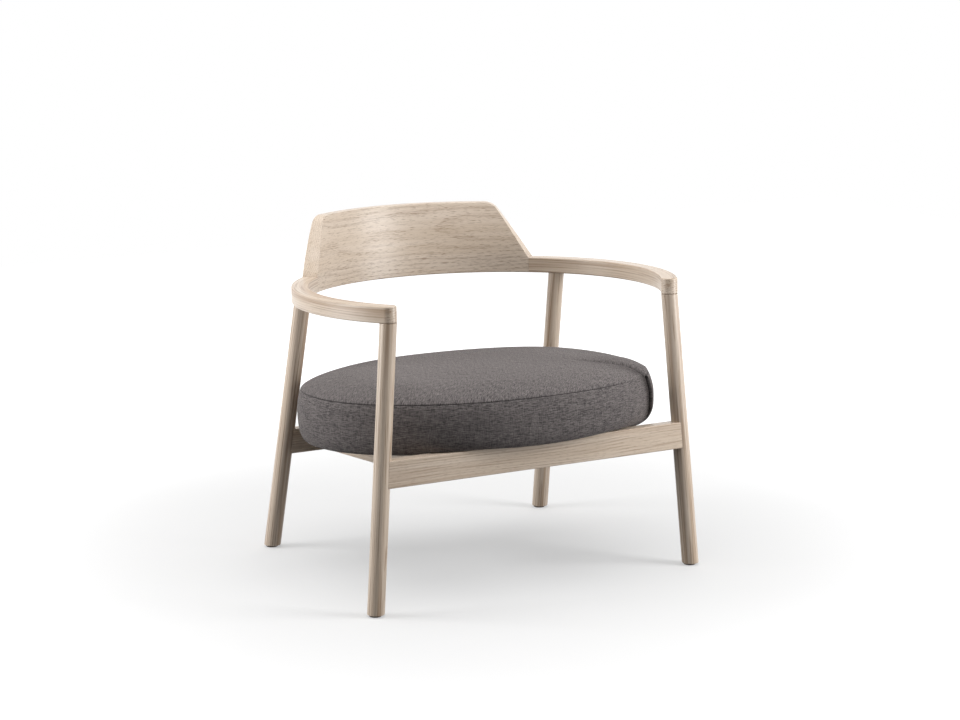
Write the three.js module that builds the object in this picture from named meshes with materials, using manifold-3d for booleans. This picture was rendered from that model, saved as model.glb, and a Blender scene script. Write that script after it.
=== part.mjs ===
// A low lounge chair. Four splayed round legs carry a ring of two bent arms and a
// backrest, and a tilted seat frame that holds an oval upholstered seat.
// Millimetres, +Z up, the front towards -Y. Places in the plan are measured from the
// ring's axis. The last step moves the chair so that its origin is on the floor, under
// the middle of its outline.

import * as THREE from "three";
import { mergeVertices } from "three/addons/utils/BufferGeometryUtils.js";
import Module from "manifold-3d";

// Clearances, and how far a cutting tool runs past what it cuts
const GAP = 0.3;
const BORE_CLEARANCE = 0.15;
const BORE_END_ROOM = 0.5;
const OVERRUN = 60;
const MERGE_TOLERANCE = 0.001;

// The ring of arms and backrest: an arc round an upright axis, lower at the rear
const RING_RADIUS = 380;
const ARM_WIDTH = 34;
const ARM_HEIGHT = 33;
const ARM_EASE = 2.5;
const RING_UNDERSIDE = 570;
const RING_TILT_DEGREES = 2.25;
const BACK_JOINT_DEGREES = 45;
const FRONT_LEG_DEGREES = 121;
const REAR_LEG_DEGREES = 54;

// The backrest above the arms
const BACK_TOP = 710;
const BACK_CORNER_DEGREES = 32.5;
const BACK_CORNER_RADIUS = 35;
const BACK_INNER_LEAN = 22;
const BACK_OUTER_LEAN = 12;
const INNER_LEAN_POWER = 1.5;

// Legs: how far each foot stands from under its top, the taper and the joint at the top
const LEG_FOOT_RADIUS = 17.6;
const FRONT_SPLAY_OUT = 45.8;
const FRONT_SPLAY_AHEAD = 26.3;
const REAR_SPLAY_OUT = 28;
const REAR_SPLAY_BEHIND = 112.6;
const TENON_RADIUS = 11;
const TENON_LENGTH = 24;

// Glides under the feet, and the nails that hold them
const GLIDE_RADIUS = 13;
const GLIDE_HEIGHT = 4;
const GLIDE_EASE = 1;
const NAIL_RADIUS = 1.5;
const NAIL_LENGTH = 22;
const NAIL_HEAD_RADIUS = 3.5;
const NAIL_HEAD_HEIGHT = 1.2;
const NAIL_RECESS_DEPTH = 2.4;

// The seat frame: front and rear rails between the legs, side rails between the rails
const FRONT_RAIL_TOP = 308;
const SEAT_TILT_DEGREES = 4.5;
const RAIL_HEIGHT = 55;
const RAIL_THICKNESS = 32;
const SIDE_RAIL_THICKNESS = 24;
const SIDE_RAIL_INSET = 155;
const RAIL_EASE = 2;

// Dowels in the glued joints, two in each
const DOWEL_RADIUS = 5;
const DOWEL_SPACING = 28;
const DOWEL_IN_LEG = 14;
const DOWEL_IN_RAIL = 24;
const RING_DOWEL_RADIUS = 3;
const RING_DOWEL_SPACING = 13;
const RING_DOWEL_HALF_LENGTH = 20;

// The seat: an oval pad over a board. It follows the ring in width, and reaches past the
// middles of the front and rear rails in depth.
const SEAT_BEYOND_RING = 7;
const SEAT_PAST_FRONT_RAIL = 63;
const SEAT_PAST_REAR_RAIL = 46;
const OVAL_POWER = 2.14;
const WAIST_HEIGHT = 55;
const LOWER_DRAW_IN = 27;
const SEAM_HEIGHT = 102;
const SEAM_DRAW_IN = 10.5;
const REAR_RISE = 6;
const CROWN_HEIGHT = 37;
const CROWN_POWER = 4.3;
const COVER_THICKNESS = 2;
const COVER_TURN_UNDER = 30;
const BOARD_THICKNESS = 15;
const BOARD_EDGE_ROOM = 3;

// Screws up through the side rails into tee nuts in the board
const SCREW_RADIUS = 3;
const SCREW_HEAD_RADIUS = 6;
const SCREW_HEAD_HEIGHT = 4;
const SCREW_RECESS_RADIUS = 8;
const SCREW_RECESS_DEPTH = 20;
const SCREW_END_ROOM = 1.5;
const SCREW_FROM_RAIL = 110;
const TEE_NUT_RADIUS = 4.5;
const TEE_NUT_FLANGE_RADIUS = 9.5;
const TEE_NUT_FLANGE_HEIGHT = 1.2;
const TEE_NUT_SINK = 0.4;

// How finely round shapes are drawn
const LEG_SIDES = 32;
const SMALL_SIDES = 12;
const GLIDE_SIDES = 20;
const EASE_STEPS = 2;
const ARM_STEPS = 11;
const BACK_LEVELS = 4;
const BACK_TOP_STEPS = 9;
const BACK_CORNER_STEPS = 4;
const BACK_SLOPE_STEPS = 4;
const OVAL_STEPS = 40;
const SIDE_STEPS = 2;
const LOWER_STEPS = 4;
const CROWN_SHARES = [0.985, 0.94, 0.85, 0.68, 0.42, 0];

const X_AXIS = new THREE.Vector3(1, 0, 0);
const Y_AXIS = new THREE.Vector3(0, 1, 0);
const Z_AXIS = new THREE.Vector3(0, 0, 1);
const SIDES = { left: -1, right: 1 };
const ENDS = ["front", "rear"];

const ringTilt = THREE.MathUtils.degToRad(RING_TILT_DEGREES);
const seatTilt = THREE.MathUtils.degToRad(SEAT_TILT_DEGREES);
const backJoint = THREE.MathUtils.degToRad(BACK_JOINT_DEGREES);
const backCorner = THREE.MathUtils.degToRad(BACK_CORNER_DEGREES);
const frontLegAngle = THREE.MathUtils.degToRad(FRONT_LEG_DEGREES);
const rearLegAngle = THREE.MathUtils.degToRad(REAR_LEG_DEGREES);
const ringInner = RING_RADIUS - ARM_WIDTH / 2;
const ringOuter = RING_RADIUS + ARM_WIDTH / 2;
const legTopRadius = ARM_WIDTH / 2;
const seatHalfWidth = RING_RADIUS + SEAT_BEYOND_RING;
const sideRailOuter = seatHalfWidth - SIDE_RAIL_INSET;

const wasm = await Module();
wasm.setup();

// Materials
function woodMaterial() {
  return new THREE.MeshStandardMaterial({ color: 0xcbb79f, roughness: 0.5, metalness: 0 });
}

function dowelMaterial() {
  return new THREE.MeshStandardMaterial({ color: 0xd8bf95, roughness: 0.7, metalness: 0 });
}

function plywoodMaterial() {
  return new THREE.MeshStandardMaterial({ color: 0xc9a877, roughness: 0.75, metalness: 0 });
}

function glideMaterial() {
  return new THREE.MeshStandardMaterial({ color: 0x3a2e26, roughness: 0.6, metalness: 0 });
}

function steelMaterial() {
  return new THREE.MeshStandardMaterial({ color: 0xa9abae, roughness: 0.35, metalness: 1 });
}

function fabricMaterial() {
  return new THREE.MeshStandardMaterial({ color: 0x5d5658, roughness: 0.95, metalness: 0 });
}

function liningMaterial() {
  return new THREE.MeshStandardMaterial({ color: 0x1f1f21, roughness: 0.9, metalness: 0 });
}

function foamMaterial() {
  return new THREE.MeshStandardMaterial({ color: 0xe4dcc0, roughness: 1, metalness: 0 });
}

// A closed geometry from corner points, with doubled corners merged and the triangles
// that this leaves without an area dropped
function closedGeometry(points, triangles) {
  const loose = new THREE.BufferGeometry();
  const places = points.flatMap((point) => point.toArray());
  loose.setAttribute("position", new THREE.Float32BufferAttribute(places, 3));
  loose.setIndex(triangles.flat());
  const merged = mergeVertices(loose, MERGE_TOLERANCE);
  const corners = merged.index.array;
  const kept = [];
  for (let i = 0; i < corners.length; i += 3) {
    const [a, b, c] = corners.slice(i, i + 3);
    if (a !== b && b !== c && c !== a) {
      kept.push(a, b, c);
    }
  }
  merged.setIndex(kept);
  merged.computeVertexNormals();
  return merged;
}

// A closed geometry as a solid that can be joined and cut
function toSolid(geometry) {
  const bare = geometry.clone();
  bare.deleteAttribute("normal");
  bare.deleteAttribute("uv");
  const merged = mergeVertices(bare, MERGE_TOLERANCE);
  const mesh = new wasm.Mesh({
    numProp: 3,
    vertProperties: new Float32Array(merged.attributes.position.array),
    triVerts: new Uint32Array(merged.index.array),
  });
  return new wasm.Manifold(mesh);
}

// The solid back as a geometry with flat shading
function toGeometry(solid) {
  const mesh = solid.getMesh();
  const geometry = new THREE.BufferGeometry();
  geometry.setAttribute("position", new THREE.Float32BufferAttribute(mesh.vertProperties, 3));
  geometry.setIndex(Array.from(mesh.triVerts));
  const flat = geometry.toNonIndexed();
  flat.computeVertexNormals();
  return flat;
}

// A solid in the chair's frame becomes a named mesh of the group that carries it
function addPiece(group, name, solid, material) {
  const geometry = toGeometry(solid);
  geometry.applyMatrix4(group.matrixWorld.clone().invert());
  addMesh(group, name, geometry, material);
}

function addMesh(group, name, geometry, material) {
  const mesh = new THREE.Mesh(geometry, material);
  mesh.name = name;
  group.add(mesh);
  return mesh;
}

function nameOf(side) {
  return side === SIDES.left ? "left" : "right";
}

// A round bar between two points
function rod(from, to, startRadius, endRadius = startRadius, sides = SMALL_SIDES) {
  const along = to.clone().sub(from);
  const middle = from.clone().add(to).divideScalar(2);
  const geometry = new THREE.CylinderGeometry(endRadius, startRadius, along.length(), sides);
  geometry.rotateX(Math.PI / 2);
  geometry.applyQuaternion(new THREE.Quaternion().setFromUnitVectors(Z_AXIS, along.normalize()));
  geometry.translate(middle.x, middle.y, middle.z);
  return toSolid(geometry);
}

// A round piece from a closed half outline of [radius, height] points, turned about +Z
function turned(outline, sides) {
  const points = outline.map(([radius, height]) => new THREE.Vector2(radius, height));
  const geometry = new THREE.LatheGeometry(points, sides);
  geometry.rotateX(Math.PI / 2);
  return geometry;
}

// A slab wider than the chair, between two heights of a frame
function slab(low, high, frame) {
  const width = (RING_RADIUS + REAR_SPLAY_BEHIND) * 4;
  const geometry = new THREE.BoxGeometry(width, width, high - low);
  geometry.translate(0, 0, (low + high) / 2);
  geometry.applyMatrix4(frame.matrixWorld);
  return toSolid(geometry);
}

// A point of the ring's plan, by its radius and its angle from the rear
function onRing(radius, angle, height = 0) {
  return new THREE.Vector3(radius * Math.sin(angle), radius * Math.cos(angle), height);
}

// Frames of reference: the chair, and the ring tilted to the rear
const chair = new THREE.Group();
const ringFrame = new THREE.Group();
ringFrame.position.z = RING_UNDERSIDE;
ringFrame.rotation.x = -ringTilt;
chair.add(ringFrame);
chair.updateMatrixWorld(true);

// A leg's axis, from the floor to the ring's underside
function legAxis(end, side) {
  const angle = end === "front" ? frontLegAngle : rearLegAngle;
  const top = ringFrame.localToWorld(onRing(RING_RADIUS, side * angle));
  const foot = onRing(RING_RADIUS, side * angle);
  if (end === "front") {
    foot.add(new THREE.Vector3(side * FRONT_SPLAY_OUT, -FRONT_SPLAY_AHEAD, 0));
  } else {
    foot.add(new THREE.Vector3(side * REAR_SPLAY_OUT, REAR_SPLAY_BEHIND, 0));
  }
  return { foot, top, direction: top.clone().sub(foot).normalize() };
}

// A point of a leg's axis at a height above the floor
function onLeg(axis, height) {
  return axis.foot.clone().addScaledVector(axis.direction, height / axis.direction.z);
}

// The seat's tilted frame: its origin is at the top of the front rail, between the legs
const seatFrame = new THREE.Group();
seatFrame.position.y = onLeg(legAxis("front", SIDES.right), FRONT_RAIL_TOP).y;
seatFrame.position.z = FRONT_RAIL_TOP;
seatFrame.rotation.x = -seatTilt;
chair.add(seatFrame);
chair.updateMatrixWorld(true);

// A leg's round taper, let out by a clearance where it is used to cut its neighbours
function legTaper(axis, clearance) {
  const low = axis.foot.clone().addScaledVector(axis.direction, -OVERRUN);
  const high = axis.top.clone().addScaledVector(axis.direction, OVERRUN);
  const taper = (LEG_FOOT_RADIUS - legTopRadius) / axis.foot.distanceTo(axis.top);
  const lowRadius = LEG_FOOT_RADIUS + taper * OVERRUN + clearance;
  const highRadius = legTopRadius - taper * OVERRUN + clearance;
  return rod(low, high, lowRadius, highRadius, LEG_SIDES);
}

// The front or rear rail's place in the seat frame: each rail lies in the plane of its
// two legs, so its faces lean as the legs do. Heights are from the rail's top.
function railPlane(end) {
  const axis = legAxis(end, SIDES.right);
  const foot = seatFrame.worldToLocal(axis.foot.clone());
  const top = seatFrame.worldToLocal(axis.top.clone());
  const lean = (top.y - foot.y) / (top.z - foot.z);
  const flare = (top.x - foot.x) / (top.z - foot.z);
  return {
    lean,
    yAt: (height) => foot.y + lean * (height - foot.z),
    legXAt: (height) => foot.x + flare * (height - foot.z),
  };
}

const railPlanes = { front: railPlane("front"), rear: railPlane("rear") };
const railMiddle = -RAIL_HEIGHT / 2;

// The seat's front and rear edges, and between them its half depth and its centre
const seatFront = railPlanes.front.yAt(0) - SEAT_PAST_FRONT_RAIL;
const seatRear = railPlanes.rear.yAt(0) + SEAT_PAST_REAR_RAIL;
const seatHalfDepth = (seatRear - seatFront) / 2;
const seatCentreY = (seatFront + seatRear) / 2;
const sideRailX = sideRailOuter - SIDE_RAIL_THICKNESS / 2;

// Dowels: their heights in the rails and in the ring, and the places of their ends
const dowelHeights = {
  upper: railMiddle + DOWEL_SPACING / 2,
  lower: railMiddle - DOWEL_SPACING / 2,
};
const ringDowelHeights = {
  upper: (ARM_HEIGHT + RING_DOWEL_SPACING) / 2,
  lower: (ARM_HEIGHT - RING_DOWEL_SPACING) / 2,
};

function legDowelEnds(end, side, height) {
  const plane = railPlanes[end];
  const surface = plane.legXAt(height) - LEG_FOOT_RADIUS;
  const inLeg = new THREE.Vector3(side * (surface + DOWEL_IN_LEG), plane.yAt(height), height);
  const inRail = new THREE.Vector3(side * (surface - DOWEL_IN_RAIL), plane.yAt(height), height);
  return [inLeg, inRail];
}

function sideDowelEnds(end, side, height) {
  const inward = end === "front" ? 1 : -1;
  const face = railPlanes[end].yAt(height) + (inward * RAIL_THICKNESS) / 2;
  const x = side * sideRailX;
  const inRail = new THREE.Vector3(x, face - inward * DOWEL_IN_LEG, height);
  const inSideRail = new THREE.Vector3(x, face + inward * DOWEL_IN_RAIL, height);
  return [inRail, inSideRail];
}

function ringDowelEnds(side, height) {
  const joint = onRing(RING_RADIUS, side * backJoint, height);
  const toArm = new THREE.Vector3(side * Math.cos(backJoint), -Math.sin(backJoint), 0);
  const inArm = joint.clone().addScaledVector(toArm, RING_DOWEL_HALF_LENGTH);
  const inBack = joint.clone().addScaledVector(toArm, -RING_DOWEL_HALF_LENGTH);
  return [inArm, inBack];
}

function dowel(ends, radius, frame) {
  const [from, to] = ends.map((point) => frame.localToWorld(point.clone()));
  return rod(from, to, radius);
}

// The bore for a dowel is wider by the clearance, and longer at both ends
function dowelBore(ends, radius, frame) {
  const [from, to] = ends.map((point) => frame.localToWorld(point.clone()));
  const along = to.clone().sub(from).normalize();
  from.addScaledVector(along, -BORE_END_ROOM);
  to.addScaledVector(along, BORE_END_ROOM);
  return rod(from, to, radius + BORE_CLEARANCE);
}

// Legs: cut level over the glide and flush under the arm, with a round tenon into it
const nailBase = NAIL_RECESS_DEPTH - NAIL_HEAD_HEIGHT - GAP;

function makeLeg(end, side) {
  const axis = legAxis(end, side);
  const tenonStart = axis.top.clone().addScaledVector(axis.direction, -TENON_LENGTH);
  const tenonEnd = axis.top.clone().addScaledVector(axis.direction, TENON_LENGTH);
  const nailStart = onLeg(axis, GLIDE_HEIGHT).setZ(0);
  const nailEnd = nailStart.clone().setZ(nailBase + NAIL_LENGTH + BORE_END_ROOM);
  let leg = legTaper(axis, 0)
    .subtract(slab(-OVERRUN * 2, GLIDE_HEIGHT + GAP, chair))
    .subtract(slab(-GAP, OVERRUN * 2, ringFrame))
    .add(rod(tenonStart, tenonEnd, TENON_RADIUS, TENON_RADIUS, GLIDE_SIDES))
    .subtract(rod(nailStart, nailEnd, NAIL_RADIUS + BORE_CLEARANCE));
  for (const height of Object.values(dowelHeights)) {
    leg = leg.subtract(dowelBore(legDowelEnds(end, side, height), DOWEL_RADIUS, seatFrame));
  }
  addPiece(chair, `leg_${end}_${nameOf(side)}`, leg, woodMaterial());
}

// Glides, each with a recess for the head of its nail
function makeGlide(end, side) {
  const place = onLeg(legAxis(end, side), GLIDE_HEIGHT);
  const recess = NAIL_HEAD_RADIUS + BORE_CLEARANCE;
  const bore = NAIL_RADIUS + BORE_CLEARANCE;
  const glideOutline = [
    [recess, 0],
    [GLIDE_RADIUS - GLIDE_EASE, 0],
    [GLIDE_RADIUS, GLIDE_EASE],
    [GLIDE_RADIUS, GLIDE_HEIGHT],
    [bore, GLIDE_HEIGHT],
    [bore, NAIL_RECESS_DEPTH],
    [recess, NAIL_RECESS_DEPTH],
    [recess, 0],
  ];
  const nailOutline = [
    [0, 0],
    [NAIL_HEAD_RADIUS, 0],
    [NAIL_HEAD_RADIUS, NAIL_HEAD_HEIGHT],
    [NAIL_RADIUS, NAIL_HEAD_HEIGHT],
    [NAIL_RADIUS, NAIL_LENGTH - NAIL_RADIUS],
    [0, NAIL_LENGTH],
  ];
  const ending = `${end}_${nameOf(side)}`;
  const glide = turned(glideOutline, GLIDE_SIDES);
  const nail = turned(nailOutline, SMALL_SIDES);
  addMesh(chair, `glide_${ending}`, glide, glideMaterial()).position.set(place.x, place.y, 0);
  addMesh(chair, `glide_nail_${ending}`, nail, steelMaterial()).position.set(place.x, place.y, nailBase);
}

// The arm's plan: an arc from beyond the backrest's joint to a round end over the front leg
function armPlan(side) {
  const endAngle = Math.PI / 2 - frontLegAngle;
  const startAngle = Math.PI / 2 - backJoint + OVERRUN / RING_RADIUS;
  const end = onRing(RING_RADIUS, frontLegAngle);
  const outline = new THREE.Shape();
  outline.absarc(0, 0, ringOuter, startAngle, endAngle, true);
  outline.absarc(end.x, end.y, ARM_WIDTH / 2, endAngle, endAngle - Math.PI, true);
  outline.absarc(0, 0, ringInner, endAngle, startAngle, false);
  const points = outline.getPoints(ARM_STEPS);
  return new THREE.Shape(points.map((point) => new THREE.Vector2(side * point.x, point.y)));
}

// What is sawn off the arm, along the radius where the backrest begins
function armSawCut(side) {
  const length = OVERRUN * 2;
  const geometry = new THREE.BoxGeometry(length, ringOuter + OVERRUN, ARM_HEIGHT + OVERRUN * 2);
  geometry.translate((-side * length) / 2, (ringOuter + OVERRUN) / 2, ARM_HEIGHT / 2);
  geometry.rotateZ(-side * backJoint);
  geometry.applyMatrix4(ringFrame.matrixWorld);
  return toSolid(geometry);
}

function makeArm(side) {
  const geometry = new THREE.ExtrudeGeometry(armPlan(side), {
    depth: ARM_HEIGHT - ARM_EASE * 2,
    bevelEnabled: true,
    bevelThickness: ARM_EASE,
    bevelSize: ARM_EASE,
    bevelOffset: -ARM_EASE,
    bevelSegments: EASE_STEPS,
  });
  geometry.translate(0, 0, ARM_EASE);
  geometry.applyMatrix4(ringFrame.matrixWorld);
  let arm = toSolid(geometry).subtract(armSawCut(side));
  for (const end of ENDS) {
    const axis = legAxis(end, side);
    const from = axis.top.clone().addScaledVector(axis.direction, -OVERRUN);
    const to = axis.top.clone().addScaledVector(axis.direction, TENON_LENGTH + BORE_END_ROOM);
    const radius = TENON_RADIUS + BORE_CLEARANCE;
    arm = arm.subtract(rod(from, to, radius, radius, GLIDE_SIDES));
  }
  for (const height of Object.values(ringDowelHeights)) {
    arm = arm.subtract(dowelBore(ringDowelEnds(side, height), RING_DOWEL_RADIUS, ringFrame));
  }
  addPiece(ringFrame, `arm_${nameOf(side)}`, arm, woodMaterial());
}

// The backrest's height above the ring's underside, where its top edge is level
function backHeight(angle) {
  const drop = RING_RADIUS * Math.cos(angle) * Math.sin(ringTilt);
  return (BACK_TOP - RING_UNDERSIDE + drop) / Math.cos(ringTilt);
}

// Its outline laid flat: a level top, a round corner, then a slope down to the arm.
// Lengths run along the ring from the middle of the back.
const backRise = backHeight(backCorner) - ARM_HEIGHT;
const backSlopeRun = (backJoint - backCorner) * RING_RADIUS;
const backTurn = Math.atan2(backRise, backSlopeRun);
const cornerStart = backCorner * RING_RADIUS - BACK_CORNER_RADIUS * Math.tan(backTurn / 2);
const cornerEnd = cornerStart + BACK_CORNER_RADIUS * Math.sin(backTurn);

function backOutlineHeight(angle) {
  const run = Math.abs(angle) * RING_RADIUS;
  if (run >= cornerEnd) {
    return ARM_HEIGHT + (backRise * (backJoint * RING_RADIUS - run)) / backSlopeRun;
  }
  const past = Math.max(0, run - cornerStart);
  const sink = BACK_CORNER_RADIUS - Math.sqrt(BACK_CORNER_RADIUS ** 2 - past ** 2);
  return backHeight(Math.min(Math.abs(angle), backCorner)) - sink;
}

// The angles of the backrest's sections, close together at the round corners
function backAngles() {
  const last = backJoint * RING_RADIUS - GAP;
  const stretches = [
    [0, cornerStart, BACK_TOP_STEPS],
    [cornerStart, cornerEnd, BACK_CORNER_STEPS],
    [cornerEnd, last, BACK_SLOPE_STEPS],
  ];
  const angles = [];
  for (const [from, to, steps] of stretches) {
    for (let step = 1; step <= steps; step += 1) {
      angles.push((from + ((to - from) * step) / steps) / RING_RADIUS);
    }
  }
  const mirrored = angles.map((angle) => -angle).reverse();
  return [...mirrored, 0, ...angles];
}

// The quarter round of an eased edge. Quarters count anticlockwise from the outward one.
function easedCorner(radius, height, quarter) {
  const points = [];
  for (let step = 0; step <= EASE_STEPS; step += 1) {
    const turn = (Math.PI / 2) * (quarter + step / EASE_STEPS);
    points.push([radius + ARM_EASE * Math.cos(turn), height + ARM_EASE * Math.sin(turn)]);
  }
  return points;
}

// One upright section of the backrest, as [radius, height] points round its edge.
// Both faces lean out above the arms, the inner face more and in a curve.
function backSection(angle) {
  const high = backOutlineHeight(angle) - ARM_EASE;
  const low = ARM_HEIGHT / 2;
  const shareAt = (height) => Math.max(0, (height - ARM_HEIGHT) / (backHeight(0) - ARM_HEIGHT));
  const innerAt = (height) => ringInner + BACK_INNER_LEAN * shareAt(height) ** INNER_LEAN_POWER;
  const outerAt = (height) => ringOuter + BACK_OUTER_LEAN * shareAt(height);
  const heights = [];
  for (let level = 0; level < BACK_LEVELS; level += 1) {
    heights.push(low + ((high - low) * level) / BACK_LEVELS);
  }
  return [
    ...easedCorner(ringOuter - ARM_EASE, ARM_EASE, 3),
    ...heights.map((height) => [outerAt(height), height]),
    ...easedCorner(outerAt(high) - ARM_EASE, high, 0),
    ...easedCorner(innerAt(high) + ARM_EASE, high, 1),
    ...heights.map((height) => [innerAt(height), height]).reverse(),
    ...easedCorner(ringInner + ARM_EASE, ARM_EASE, 2),
  ];
}

function makeBackrest() {
  const angles = backAngles();
  const sections = angles.map(backSection);
  const count = sections[0].length;
  const points = sections.flatMap((section, i) =>
    section.map(([radius, height]) => onRing(radius, angles[i], height)),
  );
  const triangles = [];
  for (let section = 1; section < sections.length; section += 1) {
    const before = (section - 1) * count;
    const after = section * count;
    for (let i = 0; i < count; i += 1) {
      const next = (i + 1) % count;
      triangles.push([before + i, before + next, after + next]);
      triangles.push([before + i, after + next, after + i]);
    }
  }
  const last = points.length - count;
  const flat = sections[0].map(([radius, height]) => new THREE.Vector2(radius, height));
  for (const [a, b, c] of THREE.ShapeUtils.triangulateShape(flat, [])) {
    triangles.push([a, c, b]);
    triangles.push([last + a, last + b, last + c]);
  }
  const geometry = closedGeometry(points, triangles);
  geometry.applyMatrix4(ringFrame.matrixWorld);
  let backrest = toSolid(geometry);
  for (const side of Object.values(SIDES)) {
    for (const height of Object.values(ringDowelHeights)) {
      const bore = dowelBore(ringDowelEnds(side, height), RING_DOWEL_RADIUS, ringFrame);
      backrest = backrest.subtract(bore);
    }
  }
  addPiece(ringFrame, "backrest", backrest, woodMaterial());
}

// A rail's bar with eased edges along a level axis of the seat frame. Its thickness lies
// across that axis, and its top is at the frame's zero.
function railBar(length, thickness, acrossAxis, alongAxis) {
  const side = thickness / 2 - RAIL_EASE;
  const top = -RAIL_EASE;
  const bottom = -RAIL_HEIGHT + RAIL_EASE;
  const section = new THREE.Shape();
  section.absarc(side, top, RAIL_EASE, 0, Math.PI / 2, false);
  section.absarc(-side, top, RAIL_EASE, Math.PI / 2, Math.PI, false);
  section.absarc(-side, bottom, RAIL_EASE, Math.PI, Math.PI * 1.5, false);
  section.absarc(side, bottom, RAIL_EASE, Math.PI * 1.5, Math.PI * 2, false);
  const geometry = new THREE.ExtrudeGeometry(section, {
    depth: length,
    bevelEnabled: false,
    curveSegments: EASE_STEPS,
  });
  geometry.translate(0, 0, -length / 2);
  geometry.applyMatrix4(new THREE.Matrix4().makeBasis(acrossAxis, Z_AXIS, alongAxis));
  return geometry;
}

// Front and rear rails run from leg to leg, their ends hollowed to fit round the legs
function makeRail(end) {
  const plane = railPlanes[end];
  const geometry = railBar(plane.legXAt(railMiddle) * 2, RAIL_THICKNESS, Y_AXIS, X_AXIS);
  geometry.applyMatrix4(new THREE.Matrix4().makeShear(0, 0, 0, 0, 0, plane.lean));
  geometry.translate(0, plane.yAt(0), 0);
  geometry.applyMatrix4(seatFrame.matrixWorld);
  let rail = toSolid(geometry);
  for (const side of Object.values(SIDES)) {
    rail = rail.subtract(legTaper(legAxis(end, side), GAP));
    for (const height of Object.values(dowelHeights)) {
      const legBore = dowelBore(legDowelEnds(end, side, height), DOWEL_RADIUS, seatFrame);
      const sideBore = dowelBore(sideDowelEnds(end, side, height), DOWEL_RADIUS, seatFrame);
      rail = rail.subtract(legBore).subtract(sideBore);
    }
  }
  addPiece(seatFrame, `${end}_rail`, rail, woodMaterial());
}

// What is cut from a side rail's end, along the leaning face of the front or rear rail
function sideRailEndCut(end) {
  const inward = end === "front" ? 1 : -1;
  const plane = railPlanes[end];
  const low = -RAIL_HEIGHT - OVERRUN;
  const high = OVERRUN;
  const faceAt = (height) => plane.yAt(height) + inward * (RAIL_THICKNESS / 2 + GAP);
  const behindAt = (height) => plane.yAt(height) - inward * (RAIL_THICKNESS + OVERRUN);
  const outline = new THREE.Shape([
    new THREE.Vector2(faceAt(low), low),
    new THREE.Vector2(faceAt(high), high),
    new THREE.Vector2(behindAt(high), high),
    new THREE.Vector2(behindAt(low), low),
  ]);
  const width = (sideRailOuter + OVERRUN) * 2;
  const geometry = new THREE.ExtrudeGeometry(outline, { depth: width, bevelEnabled: false });
  geometry.translate(0, 0, -width / 2);
  geometry.applyMatrix4(new THREE.Matrix4().makeBasis(Y_AXIS, Z_AXIS, X_AXIS));
  geometry.applyMatrix4(seatFrame.matrixWorld);
  return toSolid(geometry);
}

// Where the seat's screws are, in the seat frame
function screwPlace(end, side) {
  const inward = end === "front" ? 1 : -1;
  const y = railPlanes[end].yAt(0) + inward * SCREW_FROM_RAIL;
  return new THREE.Vector3(side * sideRailX, y, 0);
}

// An upright bore in the seat frame, between two heights
function seatBore(place, low, high, radius) {
  const from = seatFrame.localToWorld(place.clone().setZ(low));
  const to = seatFrame.localToWorld(place.clone().setZ(high));
  return rod(from, to, radius);
}

function makeSideRail(side) {
  const front = railPlanes.front.yAt(railMiddle);
  const rear = railPlanes.rear.yAt(railMiddle);
  const geometry = railBar(rear - front, SIDE_RAIL_THICKNESS, X_AXIS, Y_AXIS.clone().negate());
  geometry.translate(side * sideRailX, (front + rear) / 2, 0);
  geometry.applyMatrix4(seatFrame.matrixWorld);
  let rail = toSolid(geometry);
  for (const end of ENDS) {
    rail = rail.subtract(sideRailEndCut(end));
    for (const height of Object.values(dowelHeights)) {
      rail = rail.subtract(dowelBore(sideDowelEnds(end, side, height), DOWEL_RADIUS, seatFrame));
    }
    const place = screwPlace(end, side);
    const shoulder = -RAIL_HEIGHT + SCREW_RECESS_DEPTH;
    const recess = seatBore(place, -RAIL_HEIGHT - OVERRUN, shoulder, SCREW_RECESS_RADIUS);
    const shaft = seatBore(place, -RAIL_HEIGHT, OVERRUN, SCREW_RADIUS + BORE_CLEARANCE);
    rail = rail.subtract(recess).subtract(shaft);
  }
  addPiece(seatFrame, `side_rail_${nameOf(side)}`, rail, woodMaterial());
}

function makeDowels() {
  for (const side of Object.values(SIDES)) {
    for (const [level, height] of Object.entries(dowelHeights)) {
      for (const end of ENDS) {
        const ending = `${end}_${nameOf(side)}_${level}`;
        const legDowel = dowel(legDowelEnds(end, side, height), DOWEL_RADIUS, seatFrame);
        const sideDowel = dowel(sideDowelEnds(end, side, height), DOWEL_RADIUS, seatFrame);
        addPiece(seatFrame, `leg_dowel_${ending}`, legDowel, dowelMaterial());
        addPiece(seatFrame, `side_rail_dowel_${ending}`, sideDowel, dowelMaterial());
      }
    }
    for (const [level, height] of Object.entries(ringDowelHeights)) {
      const ringDowel = dowel(ringDowelEnds(side, height), RING_DOWEL_RADIUS, ringFrame);
      addPiece(ringFrame, `back_dowel_${nameOf(side)}_${level}`, ringDowel, dowelMaterial());
    }
  }
}

// A power that keeps the sign, for an oval with fuller corners than an ellipse
function signedPower(value) {
  return Math.sign(value) * Math.abs(value) ** (2 / OVAL_POWER);
}

// The pad is thicker at the rear: above its board it rises there, and sinks in front
function riseAt(y, height) {
  const share = (height - foamBase) / (SEAM_HEIGHT - foamBase);
  return REAR_RISE * (y / seatHalfDepth) * THREE.MathUtils.clamp(share, 0, 1);
}

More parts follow.
